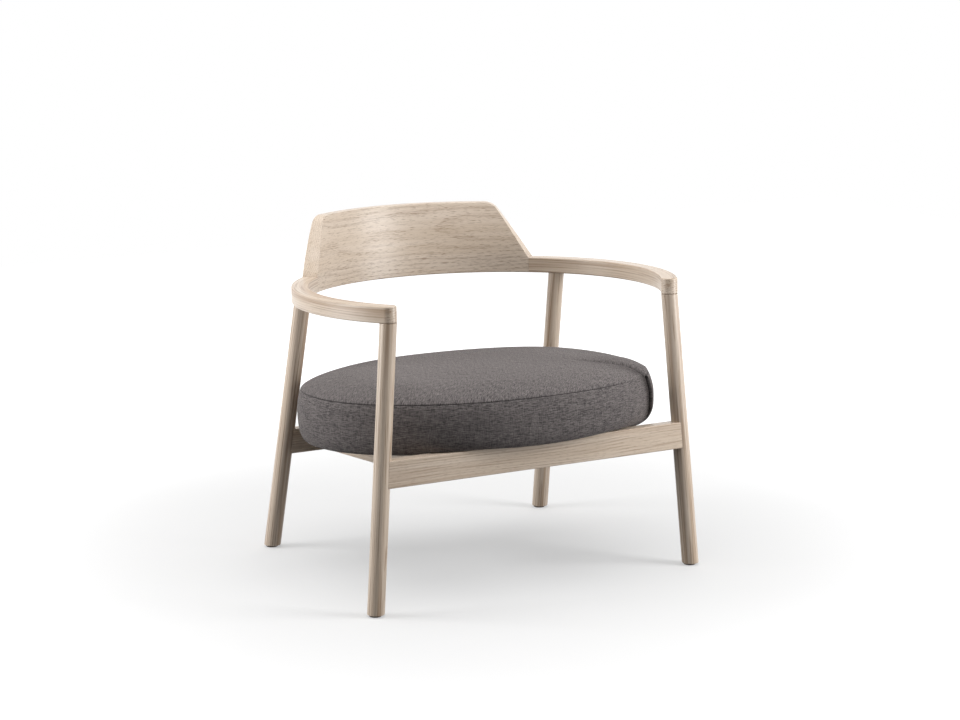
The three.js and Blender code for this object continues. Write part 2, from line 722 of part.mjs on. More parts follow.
// A layer of the seat, from a list of rings. Each ring is an oval, drawn in from the
// seat's widest outline, then a share of that, at a height. The last joins the first.
function ovalGeometry(rings) {
  const points = [];
  const triangles = [];
  rings.forEach(({ drawIn, share, height }, ring) => {
    const nextRing = (ring + 1) % rings.length;
    for (let step = 0; step < OVAL_STEPS; step += 1) {
      const angle = (2 * Math.PI * step) / OVAL_STEPS;
      const x = (seatHalfWidth - drawIn) * share * signedPower(Math.cos(angle));
      const y = (seatHalfDepth - drawIn) * share * signedPower(Math.sin(angle));
      points.push(new THREE.Vector3(x, seatCentreY + y, height + riseAt(y, height)));
      if (share > 0 || rings[nextRing].share > 0) {
        const nextStep = (step + 1) % OVAL_STEPS;
        const here = ring * OVAL_STEPS;
        const there = nextRing * OVAL_STEPS;
        triangles.push([here + step, here + nextStep, there + nextStep]);
        triangles.push([here + step, there + nextStep, there + step]);
      }
    }
  });
  return closedGeometry(points, triangles);
}

// A flat oval sheet of the seat as a solid, between two heights
function ovalSheet(drawIn, low, high) {
  const geometry = ovalGeometry([
    { drawIn, share: 0, height: low },
    { drawIn, share: 1, height: low },
    { drawIn, share: 1, height: high },
    { drawIn, share: 0, height: high },
  ]);
  geometry.applyMatrix4(seatFrame.matrixWorld);
  return toSolid(geometry);
}

// The pad's side from below: rounded under, widest at the waist, drawn in to the seam
function sideRings(depth, seamHeight) {
  const rings = [];
  for (let step = 1; step <= LOWER_STEPS; step += 1) {
    const angle = (Math.PI / 2) * (1 - step / LOWER_STEPS);
    const drawIn = LOWER_DRAW_IN * (1 - Math.cos(angle)) + depth;
    rings.push({ drawIn, share: 1, height: WAIST_HEIGHT * (1 - Math.sin(angle)) });
  }
  for (let step = 1; step <= SIDE_STEPS; step += 1) {
    const rise = step / SIDE_STEPS;
    const height = WAIST_HEIGHT + (seamHeight - WAIST_HEIGHT) * rise;
    rings.push({ drawIn: SEAM_DRAW_IN * rise * rise + depth, share: 1, height });
  }
  return rings;
}

// The pad's crown, from the seam up to the middle, at a depth under the surface
function crownRings(depth) {
  return CROWN_SHARES.map((share) => ({
    drawIn: SEAM_DRAW_IN + depth,
    share,
    height: SEAM_HEIGHT + CROWN_HEIGHT * (1 - share ** CROWN_POWER) - depth,
  }));
}

// Heights of the seat's layers over the rails
const coverBase = GAP;
const coverInside = coverBase + COVER_THICKNESS;
const boardBase = coverInside + GAP;
const boardTop = boardBase + BOARD_THICKNESS;
const foamBase = boardTop + GAP;
const foamDepth = COVER_THICKNESS + GAP;
const nutFlangeTop = boardTop - TEE_NUT_SINK;
const nutFlangeBase = nutFlangeTop - TEE_NUT_FLANGE_HEIGHT;

// The side band of the cover, with its lower edge turned in under the board
function makeCoverBand() {
  const bandTop = SEAM_HEIGHT - GAP / 2;
  const turnedIn = LOWER_DRAW_IN + COVER_TURN_UNDER;
  const geometry = ovalGeometry([
    { drawIn: turnedIn, share: 1, height: coverBase },
    { drawIn: LOWER_DRAW_IN, share: 1, height: coverBase },
    ...sideRings(0, bandTop),
    ...sideRings(COVER_THICKNESS, bandTop).reverse(),
    { drawIn: LOWER_DRAW_IN + COVER_THICKNESS, share: 1, height: coverInside },
    { drawIn: turnedIn, share: 1, height: coverInside },
  ]);
  addMesh(seatFrame, "seat_cover_band", geometry, fabricMaterial());
}

// The top panel of the cover, sewn to the band at the seam
function makeCoverTop() {
  const base = SEAM_HEIGHT + GAP / 2;
  const geometry = ovalGeometry([
    { drawIn: SEAM_DRAW_IN, share: 1, height: base },
    ...crownRings(0),
    ...crownRings(COVER_THICKNESS).reverse(),
    { drawIn: SEAM_DRAW_IN + COVER_THICKNESS, share: 1, height: base },
  ]);
  addMesh(seatFrame, "seat_cover_top", geometry, fabricMaterial());
}

// The foam fills the cover above the board
function makeFoam() {
  const lowTurn = Math.asin(1 - foamBase / WAIST_HEIGHT);
  const lowDrawIn = LOWER_DRAW_IN * (1 - Math.cos(lowTurn)) + foamDepth;
  const geometry = ovalGeometry([
    { drawIn: lowDrawIn, share: 0, height: foamBase },
    { drawIn: lowDrawIn, share: 1, height: foamBase },
    ...sideRings(foamDepth, SEAM_HEIGHT).filter((ring) => ring.height > foamBase),
    ...crownRings(foamDepth),
  ]);
  addMesh(seatFrame, "seat_foam", geometry, foamMaterial());
}

function makeBoard() {
  const drawIn = LOWER_DRAW_IN + COVER_THICKNESS + BOARD_EDGE_ROOM;
  const barrel = TEE_NUT_RADIUS + BORE_CLEARANCE;
  const flange = TEE_NUT_FLANGE_RADIUS + BORE_CLEARANCE;
  let board = ovalSheet(drawIn, boardBase, boardTop);
  for (const end of ENDS) {
    for (const side of Object.values(SIDES)) {
      const place = screwPlace(end, side);
      board = board.subtract(seatBore(place, -OVERRUN, OVERRUN, barrel));
      board = board.subtract(seatBore(place, nutFlangeBase - GAP, OVERRUN, flange));
    }
  }
  addPiece(seatFrame, "seat_board", board, plywoodMaterial());
}

// The dark lining closes the underside, inside the cover's turned edge
function makeLining() {
  let lining = ovalSheet(LOWER_DRAW_IN + COVER_TURN_UNDER + GAP, coverBase, coverInside);
  for (const end of ENDS) {
    for (const side of Object.values(SIDES)) {
      const bore = seatBore(screwPlace(end, side), -OVERRUN, OVERRUN, SCREW_RADIUS + BORE_CLEARANCE);
      lining = lining.subtract(bore);
    }
  }
  addPiece(seatFrame, "underside_lining", lining, liningMaterial());
}

function makeSeatScrews() {
  const headTop = -RAIL_HEIGHT + SCREW_RECESS_DEPTH - GAP;
  const screwEnd = boardTop - SCREW_END_ROOM;
  const nutBore = SCREW_RADIUS + BORE_CLEARANCE;
  const screwOutline = [
    [0, headTop - SCREW_HEAD_HEIGHT],
    [SCREW_HEAD_RADIUS, headTop - SCREW_HEAD_HEIGHT],
    [SCREW_HEAD_RADIUS, headTop],
    [SCREW_RADIUS, headTop],
    [SCREW_RADIUS, screwEnd],
    [0, screwEnd],
  ];
  const nutOutline = [
    [nutBore, boardBase],
    [TEE_NUT_RADIUS, boardBase],
    [TEE_NUT_RADIUS, nutFlangeBase],
    [TEE_NUT_FLANGE_RADIUS, nutFlangeBase],
    [TEE_NUT_FLANGE_RADIUS, nutFlangeTop],
    [nutBore, nutFlangeTop],
    [nutBore, boardBase],
  ];
  for (const end of ENDS) {
    for (const side of Object.values(SIDES)) {
      const ending = `${end}_${nameOf(side)}`;
      const place = screwPlace(end, side);
      const screw = turned(screwOutline, SMALL_SIDES);
      const nut = turned(nutOutline, SMALL_SIDES);
      addMesh(seatFrame, `seat_screw_${ending}`, screw, steelMaterial()).position.copy(place);
      addMesh(seatFrame, `tee_nut_${ending}`, nut, steelMaterial()).position.copy(place);
    }
  }
}

for (const side of Object.values(SIDES)) {
  for (const end of ENDS) {
    makeLeg(end, side);
    makeGlide(end, side);
  }
  makeArm(side);
  makeSideRail(side);
}
makeBackrest();
makeRail("front");
makeRail("rear");
makeDowels();
makeBoard();
makeLining();
makeFoam();
makeCoverBand();
makeCoverTop();
makeSeatScrews();

// The origin moves under the middle of the chair's outline
const outlineBox = new THREE.Box3().setFromObject(chair, true);
chair.position.y = -(outlineBox.min.y + outlineBox.max.y) / 2;

export default chair;
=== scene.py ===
# The looks of a low lounge chair: pale bleached ash, a woven grey cover, a soft studio.
# Metres, +Z up, the front towards -Y, the origin on the floor under the chair's middle.
import math

import bpy
import numpy as np
from mathutils import Matrix, Vector


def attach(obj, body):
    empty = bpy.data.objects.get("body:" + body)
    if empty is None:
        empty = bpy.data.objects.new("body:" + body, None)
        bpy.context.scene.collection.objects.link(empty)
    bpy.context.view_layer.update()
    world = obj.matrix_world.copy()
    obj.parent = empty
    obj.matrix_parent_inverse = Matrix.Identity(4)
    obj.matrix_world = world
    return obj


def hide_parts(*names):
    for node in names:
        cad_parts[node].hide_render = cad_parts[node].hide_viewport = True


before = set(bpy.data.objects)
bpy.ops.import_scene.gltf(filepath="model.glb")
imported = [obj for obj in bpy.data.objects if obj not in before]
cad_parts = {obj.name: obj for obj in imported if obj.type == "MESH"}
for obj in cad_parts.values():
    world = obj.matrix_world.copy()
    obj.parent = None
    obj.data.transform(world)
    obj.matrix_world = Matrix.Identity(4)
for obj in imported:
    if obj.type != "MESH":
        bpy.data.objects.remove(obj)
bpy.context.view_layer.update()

# The ring of arms and backrest
RING_AXIS_Y = -0.0764
RING_RADIUS = 0.380
ARM_WIDTH = 0.034
ARM_HEIGHT = 0.033
ARM_EASE = 0.0025
RING_UNDERSIDE = 0.570
RING_TILT = math.radians(2.25)
BACK_JOINT = math.radians(45)
FRONT_LEG_ANGLE = math.radians(121)
REAR_LEG_ANGLE = math.radians(54)
BACK_TOP = 0.710
BACK_CORNER = math.radians(32.5)
BACK_CORNER_RADIUS = 0.035
BACK_INNER_LEAN = 0.022
BACK_OUTER_LEAN = 0.012
INNER_LEAN_POWER = 1.5
JOINT_GAP = 0.0003

# Legs
LEG_FOOT_RADIUS = 0.0176
FRONT_SPLAY_OUT = 0.0458
FRONT_SPLAY_AHEAD = 0.0263
REAR_SPLAY_OUT = 0.028
REAR_SPLAY_BEHIND = 0.1126
GLIDE_HEIGHT = 0.004
FOOT_EASE = 0.0012

# The seat frame
FRONT_RAIL_TOP = 0.308
SEAT_TILT = math.radians(4.5)
RAIL_HEIGHT = 0.055
RAIL_THICKNESS = 0.032
SIDE_RAIL_THICKNESS = 0.024
SIDE_RAIL_INSET = 0.155
RAIL_EASE = 0.002

# The pad: an oval, its heights measured from the top of the rails
SEAT_BEYOND_RING = 0.007
SEAT_PAST_FRONT_RAIL = 0.063
SEAT_PAST_REAR_RAIL = 0.046
OVAL_POWER = 2.14
PAD_BASE = 0.0003
PAD_INSIDE = 0.00245
BOARD_TOP = 0.0179
COVER_TURN_UNDER = 0.030
LOWER_DRAW_IN = 0.027
LOWER_POWER = 2.3
WAIST_HEIGHT = 0.055
SEAM_HEIGHT = 0.102
SEAM_DRAW_IN = 0.0105
REAR_RISE = 0.006

# The crown of the pad: steep at its rim, and not quite the same all round
CROWN_HEIGHT = 0.037
CROWN_POWER = 3.5
RIM_RISE = 0.0048
RIM_RUN = 0.009
LEFT_FULLNESS = 0.0034
LEFT_FULLNESS_SHARE = 0.78
LEFT_SPREAD_SHARE = 0.15
REAR_FULLNESS = 0.0028
REAR_FULLNESS_SHARE = 0.80
REAR_SPREAD_SHARE = 0.16
REAR_FULLNESS_TURN = math.radians(34)
REAR_FULLNESS_SPREAD = math.radians(30)
RIGHT_DROP = 0.0045
RIGHT_DROP_SHARE = 0.99
RIGHT_SPREAD_SHARE = 0.07
RIGHT_DROP_TURN = math.radians(-18)
RIGHT_DROP_SPREAD = math.radians(28)
RIGHT_DROP_HEIGHT = 0.06
RIGHT_DROP_RUN = 0.02

# The seam: a groove that the thread pulls in, lost in the folds before the pleat
SEAM_DEPTH = 0.0016
SEAM_WIDTH = 0.0018
SEAM_LINE = 0.0011
SEAM_PULL_SHARE = 0.7
BAND_SINK_SHARE = 0.5
SEAM_HIDDEN_TURN = math.radians(-47.5)
SEAM_HIDDEN_RUN = math.radians(11)

# The band: slack at its waist, and hanging a little wherever no rail carries it
SLACK = 0.0022
SLACK_SPREAD = 0.04
FRONT_HANG = 0.0085
FRONT_HANG_RUN = 0.055
SIDE_HANG = 0.0050
SIDE_HANG_RUN = 0.020
RAIL_ROOM = 0.0015
BOARD_HOLD = 0.004
BOARD_HOLD_RUN = 0.02

# The pleat in the band, and the lip of cloth beyond it
PLEAT_TURN = math.radians(-38.5)
PLEAT_DEPTH = 0.011
PLEAT_WIDTH = 0.0040
PLEAT_END_SHARE = 0.55
PLEAT_BASE_RUN = 0.012
PLEAT_ABOVE_SEAM = 0.004
PLEAT_TOP_RUN = 0.016
# Where the painted shade in the pleat lies, off its middle as a share of its width
PLEAT_SHADE_OFFSET_SHARE = 0.3
LIP_DEPTH = 0.0045
LIP_EDGE_RUN = 0.004
LIP_RUN = 0.060
LIP_BASE_RUN = 0.03
LIP_ABOVE_SEAM = 0.03
LIP_TOP_RUN = 0.04

# The crease over the top panel, on from the pleat, and the roll of cloth beyond it
CREASE_PATH = (
    (0.309, -0.193), (0.297, -0.194), (0.290, -0.172), (0.279, -0.150),
    (0.252, -0.137), (0.230, -0.130), (0.206, -0.118), (0.183, -0.101), (0.150, -0.075),
)
CREASE_DEPTH = 0.0070
CREASE_WIDTH = 0.0066
CREASE_FADE_SHARE = 0.75
CREASE_BELOW_SEAM = 0.002
CREASE_RIM_RUN = 0.006
# Painted shade along the crease: how dark, how wide, and where along it it has faded out
CREASE_SHADE_SHARE = 0.80
CREASE_SHADE_WIDTH = 0.0042
CREASE_SHADE_END_SHARE = 0.75
ROLL_HEIGHT = 0.0062
ROLL_OFFSET = 0.055
ROLL_WIDTH = 0.045
ROLL_EDGE_RUN = 0.02
ROLL_START_SHARE = 0.05
ROLL_START_RUN_SHARE = 0.25
ROLL_END_SHARE = 1.05
ROLL_END_RUN_SHARE = 0.9

# Grain: where the pith of the tree lies, across and up in a piece's own section, and how
# flat to the rings each piece is sawn. A seed moves a piece on along the tree.
ARM_PITH = (0.03, -0.13)
BACKREST_PITH = (0.085, 0.082)
LEG_PITH = (0.02, 0.045)
BAR_PITH = (0.05, -0.12)
ARM_FLAT_SAWN_SHARE = 0.25
BACKREST_FLAT_SAWN_SHARE = 1.0
LEG_FLAT_SAWN_SHARE = 0.12
BAR_FLAT_SAWN_SHARE = 0.6
SEED_LENGTH = 1.37
BACKREST_SEED = 3
ARM_SEED = 5
SIDE_RAIL_SEED = 11
CROSS_RAIL_SEED = 14
LEG_SEED = 20

# Where noise between 0 and 1 counts as low and as high
NOISE_SPAN_SHARES = (0.3, 0.7)
WIDE_NOISE_SPAN_SHARES = (0.2, 0.8)

# Ash: its growth rings, and features per metre along the grain, across it and up
GROWTH_RING_WIDTH = 0.0046
UP_WANDER = 0.040
UP_WANDER_SCALE = (1.7, 6, 6)
ACROSS_WANDER = 0.022
ACROSS_WANDER_SCALE = (2.9, 11, 11)
RIPPLE = 0.0022
RIPPLE_SCALE = (11, 60, 60)
PORE_SCALE = (68, 850, 850)
LINE_SCALE = (5, 420, 420)
STREAK_SCALE = (1.4, 75, 75)
TONE_SCALE = (2.2, 34, 34)
FIBRE_SCALE = (9, 520, 520)
PORE_RELIEF = 0.00008

# Ash: where in a ring the early wood starts and ends, where noise makes pores, lines and
# streaks, and how strongly each of them tints the wood
EARLY_START_SHARES = (0.42, 0.62)
EARLY_END_SHARES = (0.9, 1.0)
PORE_LIMIT_SHARE = 0.592
EARLY_PORE_SHARE = 0.045
PORE_EDGE_SHARE = 0.08
LINE_EDGE_SHARES = (0.48, 0.62)
LATE_LINE_SHARE = 0.35
FLAT_LINE_LOSS_SHARE = 0.60
STREAK_EDGE_SHARES = (0.48, 0.66)
FIBRE_EDGE_SHARES = (0.38, 0.72)
BANDING_SHARE = 0.30
FLAT_BANDING_LOSS_SHARE = 0.20
STREAK_SHARE = 0.75
FIBRE_SHARE = 0.14
LINE_SHARE = 0.66
PORE_SHARE = 0.50
FIBRE_RELIEF_SHARE = 0.3
ASH_ROUGHNESS_SHARES = (0.28, 0.34)

# Cloth: features per metre along its threads and across them. The top has fewer threads
# than the band, and the band lies in a layer of its own.
WARP_SCALE = (95, 1250, 1)
WEFT_SCALE = (1250, 95, 1)
NAP_SCALE = (1000, 1000, 1)
PATCH_SCALE = (12, 12, 1)
THREAD_RELIEF = 0.00035
TOP_THREAD_SHARE = 0.80
BAND_LAYER = 0.5
THREAD_EDGE_SHARES = (0.36, 0.64)
WARP_SHARE = 0.66
NAP_EDGE_SHARES = (0.4, 0.65)
NAP_RELIEF_SHARE = 0.4
# How far the seam line and the painted shade in the pleat and crease go towards their near black
SHADE_SHARE = 0.94

# Pieces out of sight: features per metre, relief, and what their surface ranges between
DOWEL_SCALE = (60, 60, 300)
PLYWOOD_SCALE = (20, 160, 900)
BARE_WOOD_ROUGHNESS_SHARES = (0.6, 0.75)
BARE_WOOD_RELIEF = 0.0002
PLASTIC_GRAIN_SCALE = (900, 900, 900)
PLASTIC_WEAR_SCALE = (90, 90, 90)
PLASTIC_WEAR_SHARES = (0.4, 0.7)
PLASTIC_ROUGHNESS_SHARES = (0.5, 0.65)
PLASTIC_RELIEF = 0.0001
STEEL_CLOUD_SCALE = (260, 260, 260)
STEEL_ROUGHNESS_SHARES = (0.28, 0.42)
LINING_FIBRE_SCALE = (420, 420, 420)
LINING_FIBRE_SHARES = (0.4, 0.65)
LINING_RELIEF = 0.0003

# Colours from 0 to 255, alone or as the two that a material ranges between
ASH_TONES = ((214, 199, 183), (206, 189, 170))
ASH_STREAK_COLOUR = (164, 134, 106)
ASH_BANDING_COLOUR = (178, 155, 133)
ASH_FIBRE_COLOUR = (170, 149, 130)
ASH_LINE_COLOUR = (142, 115, 92)
ASH_PORE_COLOUR = (126, 99, 75)
DARK_THREAD_TONES = ((55, 52, 53), (62, 59, 60))
LIGHT_THREAD_TONES = ((117, 111, 110), (136, 129, 127))
# The near black of the seam line and of the painted shade in the pleat and crease
SEAM_AND_PAINTED_SHADE_COLOUR = (11, 10, 11)
SHEEN_COLOUR = (226, 220, 216)
BEECH_TONES = ((222, 196, 152), (205, 176, 132))
PLYWOOD_TONES = ((214, 186, 142), (192, 160, 116))
PLASTIC_TONES = ((70, 57, 47), (84, 70, 59))
STEEL_TONES = ((178, 180, 184), (160, 162, 160))
LINING_TONES = ((28, 28, 30), (48, 48, 51))

# Studio: camera, floor and softboxes
CAMERA_PLACE = (-2.5519, -4.5658, 1.5040)
CAMERA_DROP = 0.204
CAMERA_SWING = -0.515
LENS_MILLIMETRES = 95.44
SENSOR_MILLIMETRES = 36.0
FLOOR_HALF = 4.0
FLOOR_SEEN_GREY = 0.44
FLOOR_BOUNCE_GREY = 0.05
# The floor's painted glow for the camera, from a share near the chair to full white further off: dimmer
# near the chair, a painted shade round it
FLOOR_GLOW_START = 0.6
FLOOR_GLOW_END = 2.0
FLOOR_GLOW_SHARE = 0.41
WORLD_LIGHT_SHARE = 0.035
SOFTBOXES = {
    "left_softbox": {"place": (-2.74, 1.05, 1.10), "aim": (0, 0, 0.8), "size": (1.4, 2.0), "watts": 82},
    "right_softbox": {"place": (2.10, -1.95, 1.05), "aim": (0, 0, 0.9), "size": (1.2, 2.0), "watts": 80},
    "top_softbox": {"place": (0, 0, 3.0), "aim": (0, 0, 0), "size": (4.6, 4.6), "watts": 120},
}

# How finely shapes are drawn
ARC_STEP = math.radians(1.25)
CORNER_ARC_STEP = ARC_STEP / 3
EASE_STEPS = 4
ARM_END_STEPS = 24
BACK_LEVELS = 14
LEG_SIDES = 72
BAR_FLAT_STEPS = 8
UNDER_STEPS = 16
LOWER_STEPS = 28
UPPER_STEPS = 40
CROWN_STEPS = 90
CROWN_SPREAD_POWER = 1.5
PAD_SIDES = 460
PLEAT_SIDES = 49
PLEAT_ZONE = math.radians(3.2)
PLEAT_ZONE_EDGE = math.radians(3.4)
SHARP_ANGLE = math.radians(35)
PAD_SHARP_ANGLE = math.radians(75)

SIDES = {"left": -1, "right": 1}
ENDS = ("front", "rear")

# The corners of a section, in the order in which its outline runs round them
OUTER_TOP, INNER_TOP, INNER_BOTTOM, OUTER_BOTTOM = range(4)

ring_inner = RING_RADIUS - ARM_WIDTH / 2
ring_outer = RING_RADIUS + ARM_WIDTH / 2
ring_matrix = Matrix.Translation((0, RING_AXIS_Y, RING_UNDERSIDE)) @ Matrix.Rotation(-RING_TILT, 4, "X")


# Materials
class NodeTree:
    """Adds and links the nodes of a material or of the world."""

    def __init__(self, tree):
        self.nodes = tree.nodes
        self.links = tree.links

    def node(self, kind, **settings):
        made = self.nodes.new(kind)
        for key, value in settings.items():
            setattr(made, key, value)
        return made

    def give(self, source, target):
        """Links a socket to an input, or sets the input to a plain value."""
        if isinstance(source, bpy.types.NodeSocket):
            self.links.new(source, target)
        else:
            target.default_value = source

    def math(self, operation, first, second=0.0):
        made = self.node("ShaderNodeMath", operation=operation)
        for source, target in zip((first, second), made.inputs):
            self.give(source, target)
        return made.outputs[0]

    def plus(self, first, second):
        return self.math("ADD", first, second)

    def minus(self, first, second):
        return self.math("SUBTRACT", first, second)

    def times(self, first, second):
        return self.math("MULTIPLY", first, second)

    def ramp(self, source, low, high, low_to=0.0, high_to=1.0):
        """Maps low..high to other values, held at both ends, with a smooth step."""
        made = self.node("ShaderNodeMapRange", interpolation_type="SMOOTHSTEP")
        self.give(source, made.inputs["Value"])
        made.inputs["From Min"].default_value = low
        made.inputs["From Max"].default_value = high
        made.inputs["To Min"].default_value = low_to
        made.inputs["To Max"].default_value = high_to
        return made.outputs[0]

    def mix(self, share, first, second):
        """A colour between two others, each one a socket or a plain colour."""
        made = self.node("ShaderNodeMix", data_type="RGBA")
        self.give(share, made.inputs["Factor"])
        for source, target in ((first, made.inputs["A"]), (second, made.inputs["B"])):
            self.give(source if isinstance(source, bpy.types.NodeSocket) else (*source, 1.0), target)
        return made.outputs["Result"]

    def seen(self):
        """1 for what the camera sees, also in a reflection, and 0 for light that is thrown."""
        path = self.node("ShaderNodeLightPath")
        share = path.outputs["Is Camera Ray"]
        for kind in ("Is Glossy Ray", "Is Transmission Ray"):
            share = self.math("MAXIMUM", share, path.outputs[kind])
        return share


class Shader(NodeTree):
    """A material's nodes round its one surface shader."""

    def __init__(self, name):
        self.material = bpy.data.materials.new(name)
        self.material.use_nodes = True
        super().__init__(self.material.node_tree)
        self.surface = self.nodes["Principled BSDF"]

    def set(self, name, source):
        self.give(source, self.surface.inputs[name])

    def tone(self, share, tones):
        """A colour between the two of a pair."""
        return self.mix(share, *(linear_colour(colour) for colour in tones))

    def attribute(self, name, output):
        return self.node("ShaderNodeAttribute", attribute_name=name).outputs[output]

    def place(self):
        return self.node("ShaderNodeTexCoord").outputs["Object"]

    def noise(self, vector, scale, detail=2.0, roughness=0.5, distortion=0.0):
        """Noise between 0 and 1 at a scale given for each axis, in features per metre."""
        mapping = self.node("ShaderNodeMapping")
        mapping.inputs["Scale"].default_value = scale
        self.give(vector, mapping.inputs["Vector"])
        made = self.node("ShaderNodeTexNoise", noise_dimensions="3D")
        made.inputs["Scale"].default_value = 1.0
        made.inputs["Detail"].default_value = detail
        made.inputs["Roughness"].default_value = roughness
        made.inputs["Distortion"].default_value = distortion
        self.give(mapping.outputs[0], made.inputs["Vector"])
        return made.outputs["Fac"]

    def sway(self, vector, scale, detail=2.0):
        """Noise between -0.5 and 0.5."""
        return self.minus(self.noise(vector, scale, detail), 0.5)

    def relief(self, height, distance, strength=1.0):
        """Gives the surface a fine relief, up to a distance high."""
        made = self.node("ShaderNodeBump")
        made.inputs["Strength"].default_value = strength
        made.inputs["Distance"].default_value = distance
        self.give(height, made.inputs["Height"])
        self.set("Normal", made.outputs[0])


def linear_colour(colour):
    """A screen colour from 0 to 255 as linear light."""
    def linear(level):
        share = level / 255
        return share / 12.92 if share <= 0.04045 else ((share + 0.055) / 1.055) ** 2.4
    return tuple(linear(level) for level in colour)


def early_wood(s, grain):
    """How far a point lies in the porous early wood of its growth ring."""
    split = s.node("ShaderNodeSeparateXYZ")
    s.give(grain, split.inputs[0])
    _, across, up = split.outputs
    from_up = s.plus(up, s.times(s.sway(grain, UP_WANDER_SCALE, detail=1.0), UP_WANDER))
    wander_across = s.times(s.sway(grain, ACROSS_WANDER_SCALE, detail=1.0), ACROSS_WANDER)
    from_across = s.plus(across, wander_across)
    squares = s.plus(s.times(from_up, from_up), s.times(from_across, from_across))
    from_pith = s.plus(s.math("SQRT", squares), s.times(s.sway(grain, RIPPLE_SCALE), RIPPLE))
    ring = s.math("FRACT", s.math("DIVIDE", from_pith, GROWTH_RING_WIDTH))
    return s.times(s.ramp(ring, *EARLY_START_SHARES), s.ramp(ring, *EARLY_END_SHARES, 1.0, 0.0))


def pore_dashes(s, grain, early, flat_sawn):
    """Short dark pores that stand apart, thick in the early wood and rare between."""
    pores = s.noise(grain, PORE_SCALE, detail=1.0)
    limit = s.minus(PORE_LIMIT_SHARE, s.times(early, EARLY_PORE_SHARE))
    return s.times(s.ramp(s.minus(pores, limit), 0.0, PORE_EDGE_SHARE), flat_sawn)


def pore_lines(s, grain, early, flat_sawn):
    """Pores that join into long lines where a face is sawn across the rings."""
    line = s.noise(grain, LINE_SCALE, detail=1.0)
    in_ring = s.plus(LATE_LINE_SHARE, s.times(early, 1 - LATE_LINE_SHARE))
    lines = s.times(s.ramp(line, *LINE_EDGE_SHARES), in_ring)
    return s.times(lines, s.minus(1.0, s.times(flat_sawn, FLAT_LINE_LOSS_SHARE)))


def tone_streaks(s, grain, flat_sawn):
    """Broad darker streaks, but none where a face is sawn flat to the rings."""
    streaks = s.ramp(s.noise(grain, STREAK_SCALE), *STREAK_EDGE_SHARES)
    return s.times(streaks, s.minus(1.0, flat_sawn))


def wood_material():
    """Bleached ash: growth rings about a pith, with dark pores in their early wood."""
    s = Shader("bleached_ash")
    grain = s.attribute("grain", "Vector")
    flat_sawn = s.attribute("flat_sawn", "Fac")
    early = early_wood(s, grain)
    dashes = pore_dashes(s, grain, early, flat_sawn)
    lines = pore_lines(s, grain, early, flat_sawn)
    streaks = tone_streaks(s, grain, flat_sawn)
    tone = s.noise(grain, TONE_SCALE)
    fibre = s.noise(grain, FIBRE_SCALE, detail=3.0, roughness=0.65)
    banding = s.minus(BANDING_SHARE, s.times(flat_sawn, FLAT_BANDING_LOSS_SHARE))
    colour = s.tone(s.ramp(tone, *NOISE_SPAN_SHARES), ASH_TONES)
    for share, tint in (
        (s.times(streaks, STREAK_SHARE), ASH_STREAK_COLOUR),
        (s.times(early, banding), ASH_BANDING_COLOUR),
        (s.ramp(fibre, *FIBRE_EDGE_SHARES, 0.0, FIBRE_SHARE), ASH_FIBRE_COLOUR),
        (s.times(lines, LINE_SHARE), ASH_LINE_COLOUR),
        (s.times(dashes, PORE_SHARE), ASH_PORE_COLOUR),
    ):
        colour = s.mix(share, colour, linear_colour(tint))
    s.set("Base Color", colour)
    s.set("Roughness", s.ramp(tone, *WIDE_NOISE_SPAN_SHARES, *ASH_ROUGHNESS_SHARES))
    s.set("Specular IOR Level", 0.34)
    s.relief(s.minus(s.times(fibre, FIBRE_RELIEF_SHARE), dashes), PORE_RELIEF, strength=0.25)
    return s.material


def fabric_material():
    """Grey melange wool: uneven light and dark threads both ways, a soft nap over them, a dark seam line,
    and painted shade in the pleat and along the crease.
    """
    s = Shader("melange_wool")
    weave = s.attribute("weave", "Vector")
    warp = s.ramp(s.noise(weave, WARP_SCALE, detail=1.0), *THREAD_EDGE_SHARES)
    weft = s.ramp(s.noise(weave, WEFT_SCALE, detail=1.0), *THREAD_EDGE_SHARES)
    threads = s.plus(s.times(warp, WARP_SHARE), s.times(weft, 1 - WARP_SHARE))
    nap = s.noise(weave, NAP_SCALE)
    patch = s.noise(weave, PATCH_SCALE, detail=3.0)
    dark = s.tone(s.ramp(patch, *NOISE_SPAN_SHARES), DARK_THREAD_TONES)
    light = s.tone(s.ramp(nap, *NAP_EDGE_SHARES), LIGHT_THREAD_TONES)
    # The seam attribute draws the cloth towards near black: the seam line, and painted shade in the pleat
    # and crease
    shade = s.times(s.attribute("seam", "Fac"), SHADE_SHARE)
    s.set("Base Color", s.mix(shade, s.mix(threads, dark, light), linear_colour(SEAM_AND_PAINTED_SHADE_COLOUR)))
    s.set("Roughness", 0.95)
    s.set("Specular IOR Level", 0.15)
    s.set("Sheen Weight", 0.16)
    s.set("Sheen Roughness", 0.38)
    s.set("Sheen Tint", (*linear_colour(SHEEN_COLOUR), 1.0))
    s.relief(s.plus(threads, s.times(nap, NAP_RELIEF_SHARE)), THREAD_RELIEF, strength=0.7)
    return s.material


def bare_wood_material(name, tones, scale):
    """Bare wood for pieces out of sight, streaked along one axis."""
    s = Shader(name)
    streaks = s.noise(s.place(), scale, detail=3.0)
    s.set("Base Color", s.tone(s.ramp(streaks, *NOISE_SPAN_SHARES), tones))
    s.set("Roughness", s.ramp(streaks, *NOISE_SPAN_SHARES, *BARE_WOOD_ROUGHNESS_SHARES))
    s.relief(streaks, BARE_WOOD_RELIEF)
    return s.material


def glide_material():
    """Dark moulded plastic with a fine matt grain."""
    s = Shader("glide_plastic")
    place = s.place()
    wear = s.noise(place, PLASTIC_WEAR_SCALE, detail=3.0)
    s.set("Base Color", s.tone(s.ramp(wear, *PLASTIC_WEAR_SHARES), PLASTIC_TONES))
    s.set("Roughness", s.ramp(wear, *NOISE_SPAN_SHARES, *PLASTIC_ROUGHNESS_SHARES))
    s.relief(s.noise(place, PLASTIC_GRAIN_SCALE), PLASTIC_RELIEF)
    return s.material


